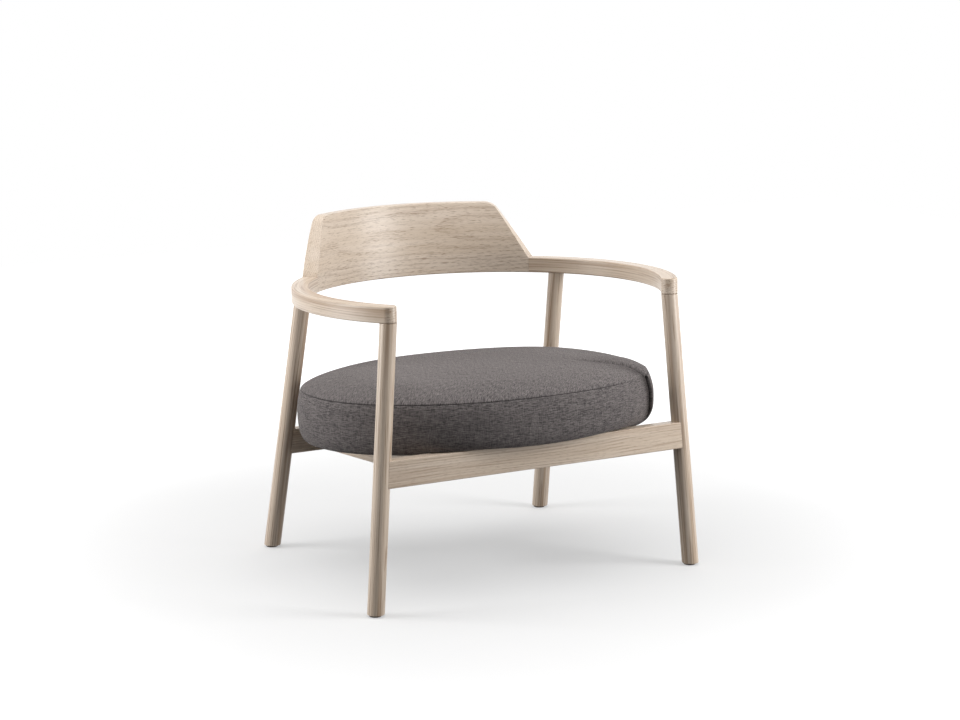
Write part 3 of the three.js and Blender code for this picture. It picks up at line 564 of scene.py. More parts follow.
def steel_material():
    """Zinc plated steel, slightly clouded."""
    s = Shader("zinc_steel")
    cloud = s.noise(s.place(), STEEL_CLOUD_SCALE, detail=3.0)
    s.set("Base Color", s.tone(cloud, STEEL_TONES))
    s.set("Roughness", s.ramp(cloud, *NOISE_SPAN_SHARES, *STEEL_ROUGHNESS_SHARES))
    s.set("Metallic", 1.0)
    return s.material


def lining_material():
    """Thin black non-woven cloth: matted fibres."""
    s = Shader("underside_cloth")
    fibres = s.noise(s.place(), LINING_FIBRE_SCALE, detail=4.0, distortion=1.5)
    s.set("Base Color", s.tone(s.ramp(fibres, *LINING_FIBRE_SHARES), LINING_TONES))
    s.set("Roughness", 0.9)
    s.relief(fibres, LINING_RELIEF)
    return s.material


# Meshes
def add_piece(name, points, faces, material, sharp_angle=SHARP_ANGLE):
    """A smooth piece, creased only where its faces meet at more than the sharp angle."""
    mesh = bpy.data.meshes.new(name)
    mesh.from_pydata([tuple(point) for point in points], [], faces)
    mesh.update()
    mesh.shade_smooth()
    mesh.set_sharp_from_angle(angle=sharp_angle)
    mesh.materials.append(material)
    piece = bpy.data.objects.new(name, mesh)
    bpy.context.scene.collection.objects.link(piece)
    return piece


def write_vectors(mesh, name, vectors, domain="POINT"):
    attribute = mesh.attributes.new(name, "FLOAT_VECTOR", domain)
    attribute.data.foreach_set("vector", np.asarray(vectors, np.float32).ravel())


def write_numbers(mesh, name, numbers):
    attribute = mesh.attributes.new(name, "FLOAT", "POINT")
    attribute.data.foreach_set("value", np.asarray(numbers, np.float32).ravel())


def add_wood(name, points, faces, grain, flat_share, material):
    """A wooden piece with its grain, its flat faces kept flat beside their eased edges."""
    piece = add_piece(name, points, faces, material)
    write_vectors(piece.data, "grain", grain)
    write_numbers(piece.data, "flat_sawn", [flat_share] * len(grain))
    normals = piece.modifiers.new("flat_faces", "WEIGHTED_NORMAL")
    normals.keep_sharp = True
    normals.weight = 100
    return piece


def stand_for(piece, slot, *nodes):
    """Puts a piece in the place of solids, on the one body that carries them."""
    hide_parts(*nodes)
    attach(piece, "root")


def loop_faces(rows, count):
    """Quads between closed loops of points that follow each other."""
    faces = []
    for row in range(rows - 1):
        here = row * count
        there = here + count
        for i in range(count):
            after = (i + 1) % count
            faces.append((here + i, here + after, there + after, there + i))
    return faces


def bar_faces(rows, count):
    """Quads between closed loops of points, with a face at each end."""
    last = (rows - 1) * count
    start = tuple(reversed(range(count)))
    end = tuple(range(last, last + count))
    return loop_faces(rows, count) + [start, end]


def on_ring(radius, angle, height):
    """A point by its place in the tilted ring: its angle is 0 at the middle of the backrest."""
    return ring_matrix @ Vector((radius * math.sin(angle), radius * math.cos(angle), height))


def pith_grain(along, across, up, pith, seed):
    """Wood coordinates of a point, from the pith of the tree that its piece was cut from."""
    return (along + SEED_LENGTH * seed, across - pith[0], up - pith[1])


def ring_grain(radius, angle, height, pith, seed):
    """Wood coordinates of a piece that is bent round the ring."""
    return pith_grain(angle * RING_RADIUS, radius - RING_RADIUS, height, pith, seed)


def eased_corner(out, height, ease, corner):
    """The round of one corner of a section, about a centre that is given as out and height."""
    points = []
    for step in range(EASE_STEPS + 1):
        turn = math.pi / 2 * (corner + step / EASE_STEPS)
        points.append((out + ease * math.cos(turn), height + ease * math.sin(turn)))
    return points


def even_steps(low, high, largest):
    """Values from low to high in even steps, none over the largest."""
    count = max(1, math.ceil(abs(high - low) / largest))
    return [low + (high - low) * i / count for i in range(count + 1)]


# Arms: a bent bar with a round front end
arm_angles = even_steps(BACK_JOINT, FRONT_LEG_ANGLE, ARC_STEP)


def arm_outline(side, inset):
    """The plan of an arm as [radius from the ring's axis, angle] pairs, drawn in by inset."""
    outer = [(ring_outer - inset, angle) for angle in arm_angles]
    inner = [(ring_inner + inset, angle) for angle in reversed(arm_angles)]
    end = []
    half = ARM_WIDTH / 2 - inset
    for step in range(1, ARM_END_STEPS):
        turn = math.pi * step / ARM_END_STEPS
        out = RING_RADIUS + half * math.cos(turn)
        past = half * math.sin(turn)
        end.append((math.hypot(out, past), FRONT_LEG_ANGLE + math.atan2(past, out)))
    return [(radius, side * angle) for radius, angle in outer + end + inner]


def arm_cap(base, count):
    """Faces over an arm's plan: strips across the bend, and one over the round end."""
    arc = len(arm_angles)
    caps = []
    for i in range(arc - 1):
        caps.append((base + i, base + i + 1, base + count - 2 - i, base + count - 1 - i))
    caps.append(tuple(base + i for i in range(arc - 1, count - arc + 1)))
    return caps


def make_arm(name, side, seed, material):
    """An arm as levels of its plan, drawn in at top and bottom for the eased edges."""
    corner = eased_corner(0, 0, ARM_EASE, OUTER_BOTTOM)
    levels = [(ARM_EASE - out, ARM_EASE + height) for out, height in corner]
    levels += [(inset, ARM_HEIGHT - height) for inset, height in reversed(levels)]
    pith = (ARM_PITH[0] * side, ARM_PITH[1])
    points = []
    grain = []
    for inset, height in levels:
        for radius, angle in arm_outline(side, inset):
            points.append(on_ring(radius, angle, height))
            grain.append(ring_grain(radius, angle, height, pith, seed))
    count = len(points) // len(levels)
    faces = loop_faces(len(levels), count)
    faces += [tuple(reversed(cap)) for cap in arm_cap(0, count)]
    faces += arm_cap(len(points) - count, count)
    if side > 0:
        faces = [tuple(reversed(face)) for face in faces]
    return add_wood(name, points, faces, grain, ARM_FLAT_SAWN_SHARE, material)


# Backrest: upright sections that follow each other along the ring
def back_height(angle):
    """Where the level top edge lies over the tilted ring's underside."""
    drop = RING_RADIUS * math.cos(angle) * math.sin(RING_TILT)
    return (BACK_TOP - RING_UNDERSIDE + drop) / math.cos(RING_TILT)


back_rise = back_height(BACK_CORNER) - ARM_HEIGHT
slope_run = (BACK_JOINT - BACK_CORNER) * RING_RADIUS
slope_turn = math.atan2(back_rise, slope_run)
corner_start = BACK_CORNER * RING_RADIUS - BACK_CORNER_RADIUS * math.tan(slope_turn / 2)
corner_end = corner_start + BACK_CORNER_RADIUS * math.sin(slope_turn)


def back_outline_height(angle):
    """The top edge: level in the middle, round at the corner, then down to the arm."""
    run = abs(angle) * RING_RADIUS
    if run >= corner_end:
        return ARM_HEIGHT + back_rise * (BACK_JOINT * RING_RADIUS - run) / slope_run
    past = max(0.0, run - corner_start)
    sink = BACK_CORNER_RADIUS - math.sqrt(BACK_CORNER_RADIUS**2 - past**2)
    return back_height(min(abs(angle), BACK_CORNER)) - sink


def back_section(angle):
    """The backrest's section as [radius, height] pairs: it leans back over the arms' height."""
    high = back_outline_height(angle) - ARM_EASE
    low = ARM_HEIGHT / 2
    whole = back_height(0) - ARM_HEIGHT

    def inner_at(height):
        return ring_inner + BACK_INNER_LEAN * max(0.0, (height - ARM_HEIGHT) / whole) ** INNER_LEAN_POWER

    def outer_at(height):
        return ring_outer + BACK_OUTER_LEAN * max(0.0, (height - ARM_HEIGHT) / whole)

    heights = [low + (high - low) * level / BACK_LEVELS for level in range(BACK_LEVELS)]
    return (
        eased_corner(ring_outer - ARM_EASE, ARM_EASE, ARM_EASE, OUTER_BOTTOM)
        + [(outer_at(height), height) for height in heights]
        + eased_corner(outer_at(high) - ARM_EASE, high, ARM_EASE, OUTER_TOP)
        + eased_corner(inner_at(high) + ARM_EASE, high, ARM_EASE, INNER_TOP)
        + [(inner_at(height), height) for height in reversed(heights)]
        + eased_corner(ring_inner + ARM_EASE, ARM_EASE, ARM_EASE, INNER_BOTTOM)
    )


def make_backrest(material):
    """The backrest, with its sections closer together at the corners of its top edge."""
    last = BACK_JOINT - JOINT_GAP / RING_RADIUS
    half = even_steps(0, corner_start / RING_RADIUS, ARC_STEP)[1:]
    half += even_steps(corner_start / RING_RADIUS, corner_end / RING_RADIUS, CORNER_ARC_STEP)[1:]
    half += even_steps(corner_end / RING_RADIUS, last, ARC_STEP)[1:]
    angles = [-angle for angle in reversed(half)] + [0.0] + half
    points = []
    grain = []
    for angle in angles:
        for radius, height in back_section(angle):
            points.append(on_ring(radius, angle, height))
            grain.append(ring_grain(radius, angle, height, BACKREST_PITH, BACKREST_SEED))
    faces = bar_faces(len(angles), len(back_section(0.0)))
    return add_wood("backrest_wood", points, faces, grain, BACKREST_FLAT_SAWN_SHARE, material)


# Legs: round tapers, cut level at the foot and flush under the ring
def leg_axis(end, side):
    """The ends of a leg's axis: on the floor, and at the ring's underside."""
    angle = FRONT_LEG_ANGLE if end == "front" else REAR_LEG_ANGLE
    top = on_ring(RING_RADIUS, side * angle, 0)
    foot = Vector((side * RING_RADIUS * math.sin(angle), RING_AXIS_Y + RING_RADIUS * math.cos(angle), 0))
    if end == "front":
        foot += Vector((side * FRONT_SPLAY_OUT, -FRONT_SPLAY_AHEAD, 0))
    else:
        foot += Vector((side * REAR_SPLAY_OUT, REAR_SPLAY_BEHIND, 0))
    return foot, top


def make_leg(name, end, side, seed, material):
    """A leg as rows of points: an eased foot, then one straight taper up to the ring."""
    foot, top = leg_axis(end, side)
    axis = (top - foot).normalized()
    first = axis.cross(Vector((0, 1, 0))).normalized()
    second = axis.cross(first)
    ring_up = ring_matrix.to_3x3() @ Vector((0, 0, 1))
    foot_cut = (Vector((0, 0, GLIDE_HEIGHT + JOINT_GAP)), Vector((0, 0, 1)))
    top_cut = (top - ring_up * JOINT_GAP, ring_up)
    # Each row of points: the plane that it lies in, its radius, and how far it is moved on
    rows = []
    for step in range(EASE_STEPS + 1):
        turn = math.pi / 2 * step / EASE_STEPS
        radius = LEG_FOOT_RADIUS - FOOT_EASE * (1 - math.sin(turn))
        rows.append((foot_cut, radius, FOOT_EASE * (1 - math.cos(turn))))
    rows.append((top_cut, ARM_WIDTH / 2, 0.0))
    pith = (LEG_PITH[0] * side, LEG_PITH[1])
    points = []
    grain = []
    for (place, normal), radius, offset in rows:
        for i in range(LEG_SIDES):
            turn = 2 * math.pi * i / LEG_SIDES
            across = radius * math.cos(turn)
            up = radius * math.sin(turn)
            line = foot + first * across + second * up
            reach = (place - line).dot(normal) / axis.dot(normal) + offset
            points.append(line + axis * reach)
            grain.append(pith_grain(reach, across, up, pith, seed))
    faces = bar_faces(len(rows), LEG_SIDES)
    return add_wood(name, points, faces, grain, LEG_FLAT_SAWN_SHARE, material)


# Rails of the seat frame, which is tilted about the top of the front rail
front_foot, front_top = leg_axis("front", 1)
front_at_rail = front_foot + (front_top - front_foot) * (FRONT_RAIL_TOP / (front_top.z - front_foot.z))
seat_matrix = Matrix.Translation((0, front_at_rail.y, FRONT_RAIL_TOP)) @ Matrix.Rotation(-SEAT_TILT, 4, "X")


def rail_plane(end):
    """How the plane of a pair of legs lies in the seat frame: y at height 0, and its lean."""
    foot, top = (seat_matrix.inverted() @ point for point in leg_axis(end, 1))
    lean = (top.y - foot.y) / (top.z - foot.z)
    return foot.y - lean * foot.z, lean


def bar_section(thickness):
    """A rail's section as [across, height] points, with points along its flat edges too."""
    side = thickness / 2 - RAIL_EASE
    bottom = RAIL_EASE - RAIL_HEIGHT
    flat = [side - 2 * side * i / BAR_FLAT_STEPS for i in range(1, BAR_FLAT_STEPS)]
    return (
        eased_corner(side, -RAIL_EASE, RAIL_EASE, OUTER_TOP)
        + [(across, 0.0) for across in flat]
        + eased_corner(-side, -RAIL_EASE, RAIL_EASE, INNER_TOP)
        + eased_corner(-side, bottom, RAIL_EASE, INNER_BOTTOM)
        + [(across, -RAIL_HEIGHT) for across in reversed(flat)]
        + eased_corner(side, bottom, RAIL_EASE, OUTER_BOTTOM)
    )


def meets_leg(point, direction, end, side):
    """How far along a line the surface of a leg lies, with the joint's gap."""
    foot, top = leg_axis(end, side)
    axis = (top - foot).normalized()
    share = (point - foot).dot(axis) / (top - foot).length
    radius = LEG_FOOT_RADIUS + (ARM_WIDTH / 2 - LEG_FOOT_RADIUS) * share + JOINT_GAP
    start = (point - foot) - axis * (point - foot).dot(axis)
    step = direction - axis * direction.dot(axis)
    square = step.dot(step)
    slope = start.dot(step)
    apart = start.dot(start) - radius**2
    return (-slope - math.sqrt(max(0.0, slope * slope - square * apart))) / square


def make_bar(name, loops, seed, material):
    """A bar through loops of [point, its place along, across and up]."""
    points = [point for loop in loops for point, _ in loop]
    grain = [pith_grain(*place, BAR_PITH, seed) for loop in loops for _, place in loop]
    faces = bar_faces(len(loops), len(loops[0]))
    return add_wood(name, points, faces, grain, BAR_FLAT_SAWN_SHARE, material)


def make_cross_rail(name, end, seed, material):
    """A rail across the chair, its ends hollowed to the round of the legs."""
    y_at_top, lean = rail_plane(end)
    loops = []
    for side in (1, -1):
        direction = Vector((side, 0, 0))
        loop = []
        for across, height in bar_section(RAIL_THICKNESS):
            middle = seat_matrix @ Vector((0, y_at_top + lean * height + across, height))
            reach = meets_leg(middle, direction, end, side)
            loop.append((middle + direction * reach, (side * reach, across, height)))
        loops.append(loop)
    return make_bar(name, loops, seed, material)


def make_side_rail(name, side, seed, material):
    """A rail from the front rail to the rear one, its ends cut to their lean."""
    x = side * (seat_half_width - SIDE_RAIL_INSET - SIDE_RAIL_THICKNESS / 2)
    loops = []
    for end, inward in (("front", 1), ("rear", -1)):
        y_at_top, lean = rail_plane(end)
        loop = []
        for across, height in bar_section(SIDE_RAIL_THICKNESS):
            y = y_at_top + lean * height + inward * (RAIL_THICKNESS / 2 + JOINT_GAP)
            loop.append((seat_matrix @ Vector((x + across, y, height)), (y, across, height)))
        loops.append(loop)
    return make_bar(name, loops, seed, material)


# The pad: rings of an oval from the hem under it, up its side and over its top
seat_front = rail_plane("front")[0] - SEAT_PAST_FRONT_RAIL
seat_rear = rail_plane("rear")[0] + SEAT_PAST_REAR_RAIL
seat_centre = (seat_rear + seat_front) / 2
seat_half_width = RING_RADIUS + SEAT_BEYOND_RING
seat_half_depth = (seat_rear - seat_front) / 2
seat_mean_radius = (seat_half_width + seat_half_depth) / 2
hem_draw_in = LOWER_DRAW_IN + COVER_TURN_UNDER


def smooth(values):
    """A smooth step from 0 to 1."""
    held = np.clip(values, 0, 1)
    return held * held * (3 - 2 * held)


def bell(values):
    """1 at zero, falling off smoothly on both sides."""
    return np.exp(-values * values)


def oval_shares(turns):
    """Where the oval lies at each angle, as shares of its half width and half depth."""
    return tuple(
        np.sign(values) * np.abs(values) ** (2 / OVAL_POWER)
        for values in (np.cos(turns), np.sin(turns))
    )


def oval_plan(drawn_in, share, turns):
    """Points from the oval's middle, at a share of the way to its drawn in outline."""
    width_share, depth_share = oval_shares(turns)
    x = (seat_half_width - drawn_in) * share * width_share
    y = (seat_half_depth - drawn_in) * share * depth_share
    return x, y


def crown_at(share):
    """How high the top panel is above its seam: steep at the rim, then gently crowned."""
    inside = (1 - share) * seat_mean_radius
    rim = RIM_RISE * (1 - math.exp(-inside / RIM_RUN))
    return rim + (CROWN_HEIGHT - RIM_RISE) * (1 - share**CROWN_POWER)


def pad_rows():
    """Each row of the pad as [drawn in, share, height], with the number of the seam's row."""
    rows = [(hem_draw_in, 1.0, PAD_INSIDE)]
    for step in range(UNDER_STEPS):
        rows.append((hem_draw_in - COVER_TURN_UNDER * step / UNDER_STEPS, 1.0, PAD_BASE))
    for step in range(LOWER_STEPS + 1):
        turn = math.pi / 2 * step / LOWER_STEPS
        drawn_in = LOWER_DRAW_IN * (1 - math.sin(turn) ** (2 / LOWER_POWER))
        rise = (WAIST_HEIGHT - PAD_BASE) * (1 - math.cos(turn) ** (2 / LOWER_POWER))
        rows.append((drawn_in, 1.0, PAD_BASE + rise))
    for step in range(1, UPPER_STEPS + 1):
        rise = 1 - (1 - step / UPPER_STEPS) ** 2
        rows.append((SEAM_DRAW_IN * rise * rise, 1.0, WAIST_HEIGHT + (SEAM_HEIGHT - WAIST_HEIGHT) * rise))
    seam = len(rows) - 1
    for step in range(1, CROWN_STEPS):
        share = 1 - (step / CROWN_STEPS) ** CROWN_SPREAD_POWER
        rows.append((SEAM_DRAW_IN, share, SEAM_HEIGHT + crown_at(share)))
    return np.array(rows), seam


def row_columns(rows):
    """The rows' numbers as three columns: drawn in, share and height."""
    return (rows[:, i:i + 1] for i in range(3))


def pad_turns():
    """Angles round the oval, closer together at the pleat."""
    even = np.linspace(-math.pi, math.pi, PAD_SIDES, endpoint=False)
    near = PLEAT_TURN + np.linspace(-PLEAT_ZONE, PLEAT_ZONE, PLEAT_SIDES)
    return np.sort(np.concatenate([even[np.abs(even - PLEAT_TURN) > PLEAT_ZONE_EDGE], near]))


def cloth_lengths(rows):
    """How far each row lies along the cloth from the hem."""
    out = (seat_half_width - rows[:, 0]) * rows[:, 1]
    return np.concatenate([[0.0], np.cumsum(np.hypot(np.diff(out), np.diff(rows[:, 2])))])


def seam_mark(rows, seam, turns, width):
    """1 on the seam, and 0 away from it and in the folds that hide it."""
    lengths = cloth_lengths(rows)
    shown = 1 - bell((turns - SEAM_HIDDEN_TURN) / SEAM_HIDDEN_RUN)
    return bell((lengths - lengths[seam]) / width)[:, None] * shown


def crease_field(x, y):
    """How far a point of the top is from the crease, and how far along it as a share."""
    path = np.array(CREASE_PATH)
    nearest = np.full(x.shape, np.inf)
    beside = np.zeros(x.shape)
    along_share = np.zeros(x.shape)
    lengths = np.hypot(*np.diff(path, axis=0).T)
    starts = np.concatenate([[0], np.cumsum(lengths)])
    for i, length in enumerate(lengths):
        step_x, step_y = path[i + 1] - path[i]
        from_x = x - path[i, 0]
        from_y = y - path[i, 1]
        held = np.clip((from_x * step_x + from_y * step_y) / length**2, 0, 1)
        off_x = from_x - held * step_x
        off_y = from_y - held * step_y
        distance = np.hypot(off_x, off_y)
        nearer = distance < nearest
        nearest = np.where(nearer, distance, nearest)
        beside = np.where(nearer, np.sign(step_y * off_x - step_x * off_y) * distance, beside)
        along_share = np.where(nearer, (starts[i] + held * length) / starts[-1], along_share)
    return beside, along_share


def band_inward(height, turns):
    """How far slack, pleat and lip move the side band in or out."""
    slack = SLACK * bell((height - WAIST_HEIGHT) / SLACK_SPREAD)
    from_pleat = (turns - PLEAT_TURN) * seat_mean_radius
    below_end = SEAM_HEIGHT + PLEAT_ABOVE_SEAM - height
    pleat_share = smooth(height / PLEAT_BASE_RUN) * smooth(below_end / PLEAT_TOP_RUN)
    width = PLEAT_WIDTH * (PLEAT_END_SHARE + (1 - PLEAT_END_SHARE) * pleat_share)
    fold = PLEAT_DEPTH * bell(from_pleat / width) * pleat_share
    below_end = SEAM_HEIGHT + LIP_ABOVE_SEAM - height
    lip_share = smooth(height / LIP_BASE_RUN) * smooth(below_end / LIP_TOP_RUN)
    beyond = smooth(from_pleat / LIP_EDGE_RUN) * np.exp(-np.maximum(from_pleat, 0) / LIP_RUN)
    return slack + fold - LIP_DEPTH * beyond * lip_share


def panel_swelling(share, height, turns):
    """How far the top is above an even crown: fuller at left and rear, its right edge lower."""
    width_share, _ = oval_shares(turns)
    on_panel = share < 1
    left = bell((share - LEFT_FULLNESS_SHARE) / LEFT_SPREAD_SHARE) * (1 - width_share) / 2
    rear = bell((share - REAR_FULLNESS_SHARE) / REAR_SPREAD_SHARE)
    rear = rear * bell((turns - REAR_FULLNESS_TURN) / REAR_FULLNESS_SPREAD)
    right = bell((share - RIGHT_DROP_SHARE) / RIGHT_SPREAD_SHARE)
    right = right * bell((turns - RIGHT_DROP_TURN) / RIGHT_DROP_SPREAD)
    right = right * smooth((height - RIGHT_DROP_HEIGHT) / RIGHT_DROP_RUN)
    return (LEFT_FULLNESS * left + REAR_FULLNESS * rear) * on_panel - RIGHT_DROP * right


def crease_lift(x, y, height):
    """How far the crease lowers the top panel, and the roll of cloth beyond it lifts it."""
    beside, along_share = crease_field(x, y)
    inside_rim = smooth((height - SEAM_HEIGHT + CREASE_BELOW_SEAM) / CREASE_RIM_RUN)
    crease = bell(beside / CREASE_WIDTH) * smooth((1 - along_share) / CREASE_FADE_SHARE)
    roll = bell((beside - ROLL_OFFSET) / ROLL_WIDTH) * smooth(beside / ROLL_EDGE_RUN)
    roll = roll * smooth((along_share + ROLL_START_SHARE) / ROLL_START_RUN_SHARE)
    roll = roll * smooth((ROLL_END_SHARE - along_share) / ROLL_END_RUN_SHARE)
    return inside_rim * (ROLL_HEIGHT * roll - CREASE_DEPTH * crease)


def edge_hang(y, drawn_in, height):
    """How far the lower edge hangs: most in front of the rail, and nowhere on a rail."""
    behind_front = y + seat_centre
    before_rear = rail_plane("rear")[0] - behind_front
    reach = RAIL_THICKNESS / 2 + RAIL_ROOM
    in_front = smooth((-reach - behind_front) / FRONT_HANG_RUN)
    between = smooth((behind_front - reach) / SIDE_HANG_RUN)
    between = between * smooth((before_rear - reach) / SIDE_HANG_RUN)
    behind = smooth((-reach - before_rear) / SIDE_HANG_RUN)
    off_board = smooth((hem_draw_in - BOARD_HOLD - drawn_in) / BOARD_HOLD_RUN)
    hang = FRONT_HANG * in_front + SIDE_HANG * (between + behind)
    return hang * off_board * (1 - smooth(height / WAIST_HEIGHT))


def pad_points(rows, seam, turns):
    """The pad's points in the seat's frame, row by row."""
    drawn_in, share, height = row_columns(rows)
    on_band = share == 1.0
    pull = SEAM_PULL_SHARE * SEAM_DEPTH * seam_mark(rows, seam, turns, SEAM_WIDTH)
    inward = drawn_in + (band_inward(height, turns) + pull) * on_band
    x, y = oval_plan(inward, share, turns)
    rear_share = np.clip((height - BOARD_TOP) / (SEAM_HEIGHT - BOARD_TOP), 0, 1)
    z = height + REAR_RISE * rear_share * y / seat_half_depth
    z = z - pull * (1 - BAND_SINK_SHARE * on_band)
    z = z + panel_swelling(share, height, turns)
    z = z + crease_lift(x, y, height)
    z = z - edge_hang(y, drawn_in, height)
    return np.stack([x, y + seat_centre, z], -1)


def make_pad(material):
    """The whole pad as one closed form, ending in a point above and one below."""
    rows, seam = pad_rows()
    turns = pad_turns()
    crown = [0, seat_centre, SEAM_HEIGHT + CROWN_HEIGHT]
    base = [0, seat_centre, PAD_INSIDE]
    local = np.concatenate([pad_points(rows, seam, turns).reshape(-1, 3), [crown], [base]])
    matrix = np.array(seat_matrix)
    points = local @ matrix[:3, :3].T + matrix[:3, 3]
    count = len(turns)
    faces = loop_faces(len(rows), count)
    last = (len(rows) - 1) * count
    for i in range(count):
        after = (i + 1) % count
        faces.append((last + i, last + after, len(points) - 2))
        faces.append((after, i, len(points) - 1))
    piece = add_piece("seat_pad", points, faces, material, PAD_SHARP_ANGLE)
    write_weave(piece.data, rows, seam, turns)
    write_seam_and_painted_shade(piece.data, rows, seam, turns)
    return piece


def write_weave(mesh, rows, seam, turns):
    """Cloth coordinates: the plan on the top panel, length and height on the side band."""
    count = len(turns)
    outline_x, outline_y = oval_plan(0.0, 1.0, turns)
    run = np.concatenate([[0.0], np.cumsum(np.hypot(np.diff(outline_x), np.diff(outline_y)))])
    drawn_in, share, _ = row_columns(rows)
    x, y = oval_plan(drawn_in, share, turns)
    # The threads of the top panel run at 45 degrees to the chair
    thread_share = TOP_THREAD_SHARE / math.sqrt(2)
    flat = np.stack([x + y, y - x, np.zeros(x.shape)], -1).reshape(-1, 3) * thread_share
    level = np.broadcast_to(cloth_lengths(rows)[:, None], x.shape)
    layer = np.full(x.shape, BAND_LAYER)
    band = np.stack([np.broadcast_to(run, x.shape), level, layer], -1).reshape(-1, 3)
    flat = np.concatenate([flat, [[0, 0, 0]] * 2])
    band = np.concatenate([band, [[0, 0, BAND_LAYER]] * 2])
    corner_points = np.empty(len(mesh.loops), np.int32)
    mesh.loops.foreach_get("vertex_index", corner_points)
    starts = np.empty(len(mesh.polygons), np.int32)
    mesh.polygons.foreach_get("loop_start", starts)
    totals = np.empty(len(mesh.polygons), np.int32)
    mesh.polygons.foreach_get("loop_total", totals)
    lowest = np.minimum.reduceat(corner_points, starts)
    on_top = np.repeat(lowest >= seam * count, totals)[:, None]
    write_vectors(mesh, "weave", np.where(on_top, flat[corner_points], band[corner_points]), "CORNER")


def write_seam_and_painted_shade(mesh, rows, seam, turns):
    """How dark the cloth is drawn: a dark line on the seam, and painted shade deep in the pleat and along
    the crease.
    """
    drawn_in, share, height = row_columns(rows)
    dark = seam_mark(rows, seam, turns, SEAM_LINE)
    # Painted shade deep in the pleat, a little off its middle, and along the crease, fading out along it
    from_pleat = (turns - PLEAT_TURN) * seat_mean_radius - PLEAT_SHADE_OFFSET_SHARE * PLEAT_WIDTH
    pleat_shade = bell(from_pleat / PLEAT_WIDTH) * smooth(height / PLEAT_BASE_RUN)
    dark[:seam] = np.maximum(dark[:seam], pleat_shade[:seam])
    beside, along_share = crease_field(*oval_plan(drawn_in, share, turns))
    fading = smooth((CREASE_SHADE_END_SHARE - along_share) / CREASE_SHADE_END_SHARE)
    crease_shade = CREASE_SHADE_SHARE * bell(beside / CREASE_SHADE_WIDTH) * fading
    dark[seam:] = np.maximum(dark[seam:], crease_shade[seam:])
    # The seam attribute carries the dark seam line and the painted shade in the pleat and crease
    write_numbers(mesh, "seam", np.concatenate([dark.ravel(), [0, 0]]))


# Studio
def make_softbox(name, place, aim, size, watts):
    """A soft rectangular light that faces its aim."""
    data = bpy.data.lights.new(name, "AREA")
    data.shape = "RECTANGLE"
    data.size, data.size_y = size
    data.energy = watts
    light = bpy.data.objects.new(name, data)
    light.location = place
    light.rotation_euler = (Vector(aim) - Vector(place)).to_track_quat("-Z", "Y").to_euler()
    bpy.context.scene.collection.objects.link(light)


def make_camera():
    """A long lens from the front left, a little above the arms."""
    data = bpy.data.cameras.new("camera")
    data.sensor_width = SENSOR_MILLIMETRES
    data.lens = LENS_MILLIMETRES
    camera = bpy.data.objects.new("camera", data)
    camera.location = CAMERA_PLACE
    camera.rotation_euler = (math.pi / 2 - CAMERA_DROP, 0.0, CAMERA_SWING)
    bpy.context.scene.collection.objects.link(camera)
    bpy.context.scene.camera = camera


def make_floor():
    """A floor that shows the chair's soft shadow near it and goes over to white further off: its glow for
    the camera is dimmer near the chair, a painted shade round it beside the cast shadow.
    """
    s = Shader("studio_floor")
    seen = s.seen()
    s.set("Base Color", s.mix(seen, (FLOOR_BOUNCE_GREY,) * 3, (FLOOR_SEEN_GREY,) * 3))
    s.set("Roughness", 1.0)
    s.set("Specular IOR Level", 0.0)
    s.set("Emission Color", (1, 1, 1, 1))
    from_chair = s.node("ShaderNodeVectorMath", operation="LENGTH")
    s.give(s.place(), from_chair.inputs[0])
    distance = from_chair.outputs["Value"]
    # Painted glow, dimmer near the chair: a painted shade round it
    painted_glow = s.ramp(distance, FLOOR_GLOW_START, FLOOR_GLOW_END, FLOOR_GLOW_SHARE, 1.0)
    s.set("Emission Strength", s.times(seen, painted_glow))
    corners = [(x * FLOOR_HALF, y * FLOOR_HALF, 0) for x, y in ((-1, -1), (1, -1), (1, 1), (-1, 1))]
    floor = add_piece("floor", corners, [(0, 1, 2, 3)], s.material)


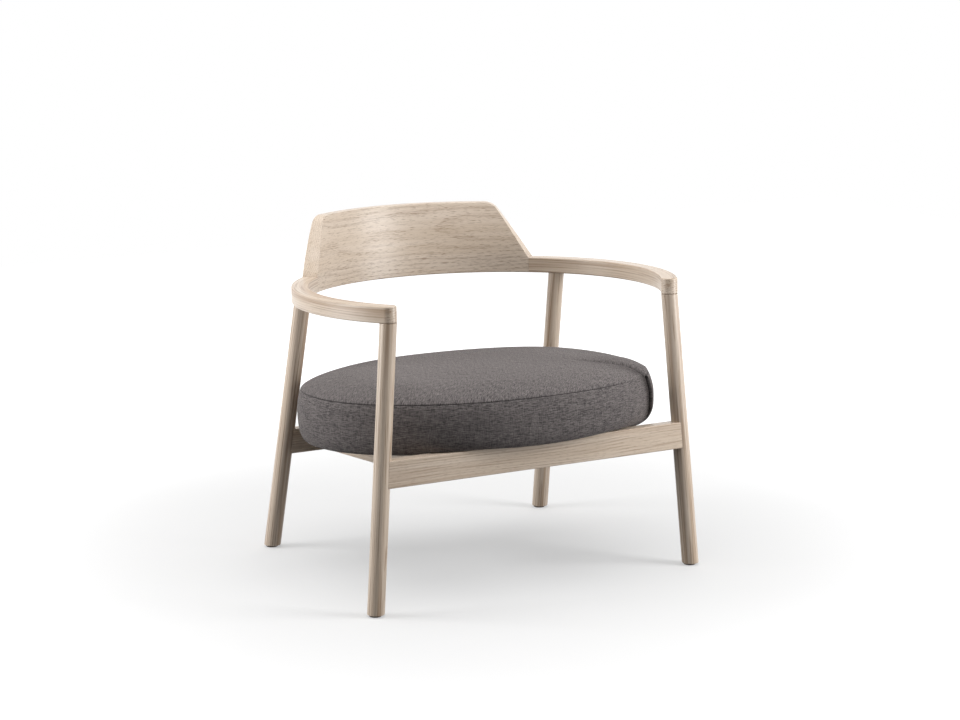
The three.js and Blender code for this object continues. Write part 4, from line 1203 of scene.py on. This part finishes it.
def make_world():
    """A white surround that throws little light of its own."""
    world = bpy.data.worlds.new("studio")
    bpy.context.scene.world = world
    world.use_nodes = True
    s = NodeTree(world.node_tree)
    background = s.nodes["Background"]
    background.inputs["Color"].default_value = (1, 1, 1, 1)
    s.give(s.ramp(s.seen(), 0.0, 1.0, WORLD_LIGHT_SHARE, 1.0), background.inputs["Strength"])


# The chair's pieces
def dress_wood():
    """Puts each wooden piece that shows in the place of its solid."""
    wood = wood_material()
    for number, (side_name, side) in enumerate(SIDES.items()):
        arm = make_arm(f"arm_{side_name}_wood", side, ARM_SEED + number, wood)
        stand_for(arm, "wood", f"arm_{side_name}")
        rail = make_side_rail(f"side_rail_{side_name}_wood", side, SIDE_RAIL_SEED + number, wood)
        stand_for(rail, "wood", f"side_rail_{side_name}")
        for order, end in enumerate(ENDS):
            seed = LEG_SEED + 2 * number + order
            leg = make_leg(f"leg_{end}_{side_name}_wood", end, side, seed, wood)
            stand_for(leg, "wood", f"leg_{end}_{side_name}")
    stand_for(make_backrest(wood), "wood", "backrest")
    for number, end in enumerate(ENDS):
        rail = make_cross_rail(f"{end}_rail_wood", end, CROSS_RAIL_SEED + number, wood)
        stand_for(rail, "wood", f"{end}_rail")


def dress_pad():
    """Puts one padded form in the place of the cover's panels and the foam."""
    pad = make_pad(fabric_material())
    stand_for(pad, "cover_fabric", "seat_cover_band", "seat_cover_top", "seat_foam")


def dress_kept_nodes():
    """Gives every other node the material of the first kind that its name holds."""
    steel = steel_material()
    materials = {
        "dowel": bare_wood_material("beech_dowel", BEECH_TONES, DOWEL_SCALE),
        "seat_board": bare_wood_material("birch_plywood", PLYWOOD_TONES, PLYWOOD_SCALE),
        "underside_lining": lining_material(),
        "glide_nail": steel,
        "seat_screw": steel,
        "tee_nut": steel,
        "glide": glide_material(),
    }
    for name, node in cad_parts.items():
        kinds = [kind for kind in materials if kind in name]
        if kinds:
            node.data.materials.clear()
            node.data.materials.append(materials[kinds[0]])


make_camera()
make_floor()
make_world()
for name, softbox in SOFTBOXES.items():
    make_softbox(name, **softbox)
dress_wood()
dress_pad()
dress_kept_nodes()

bpy.context.scene.view_settings.view_transform = "Standard"
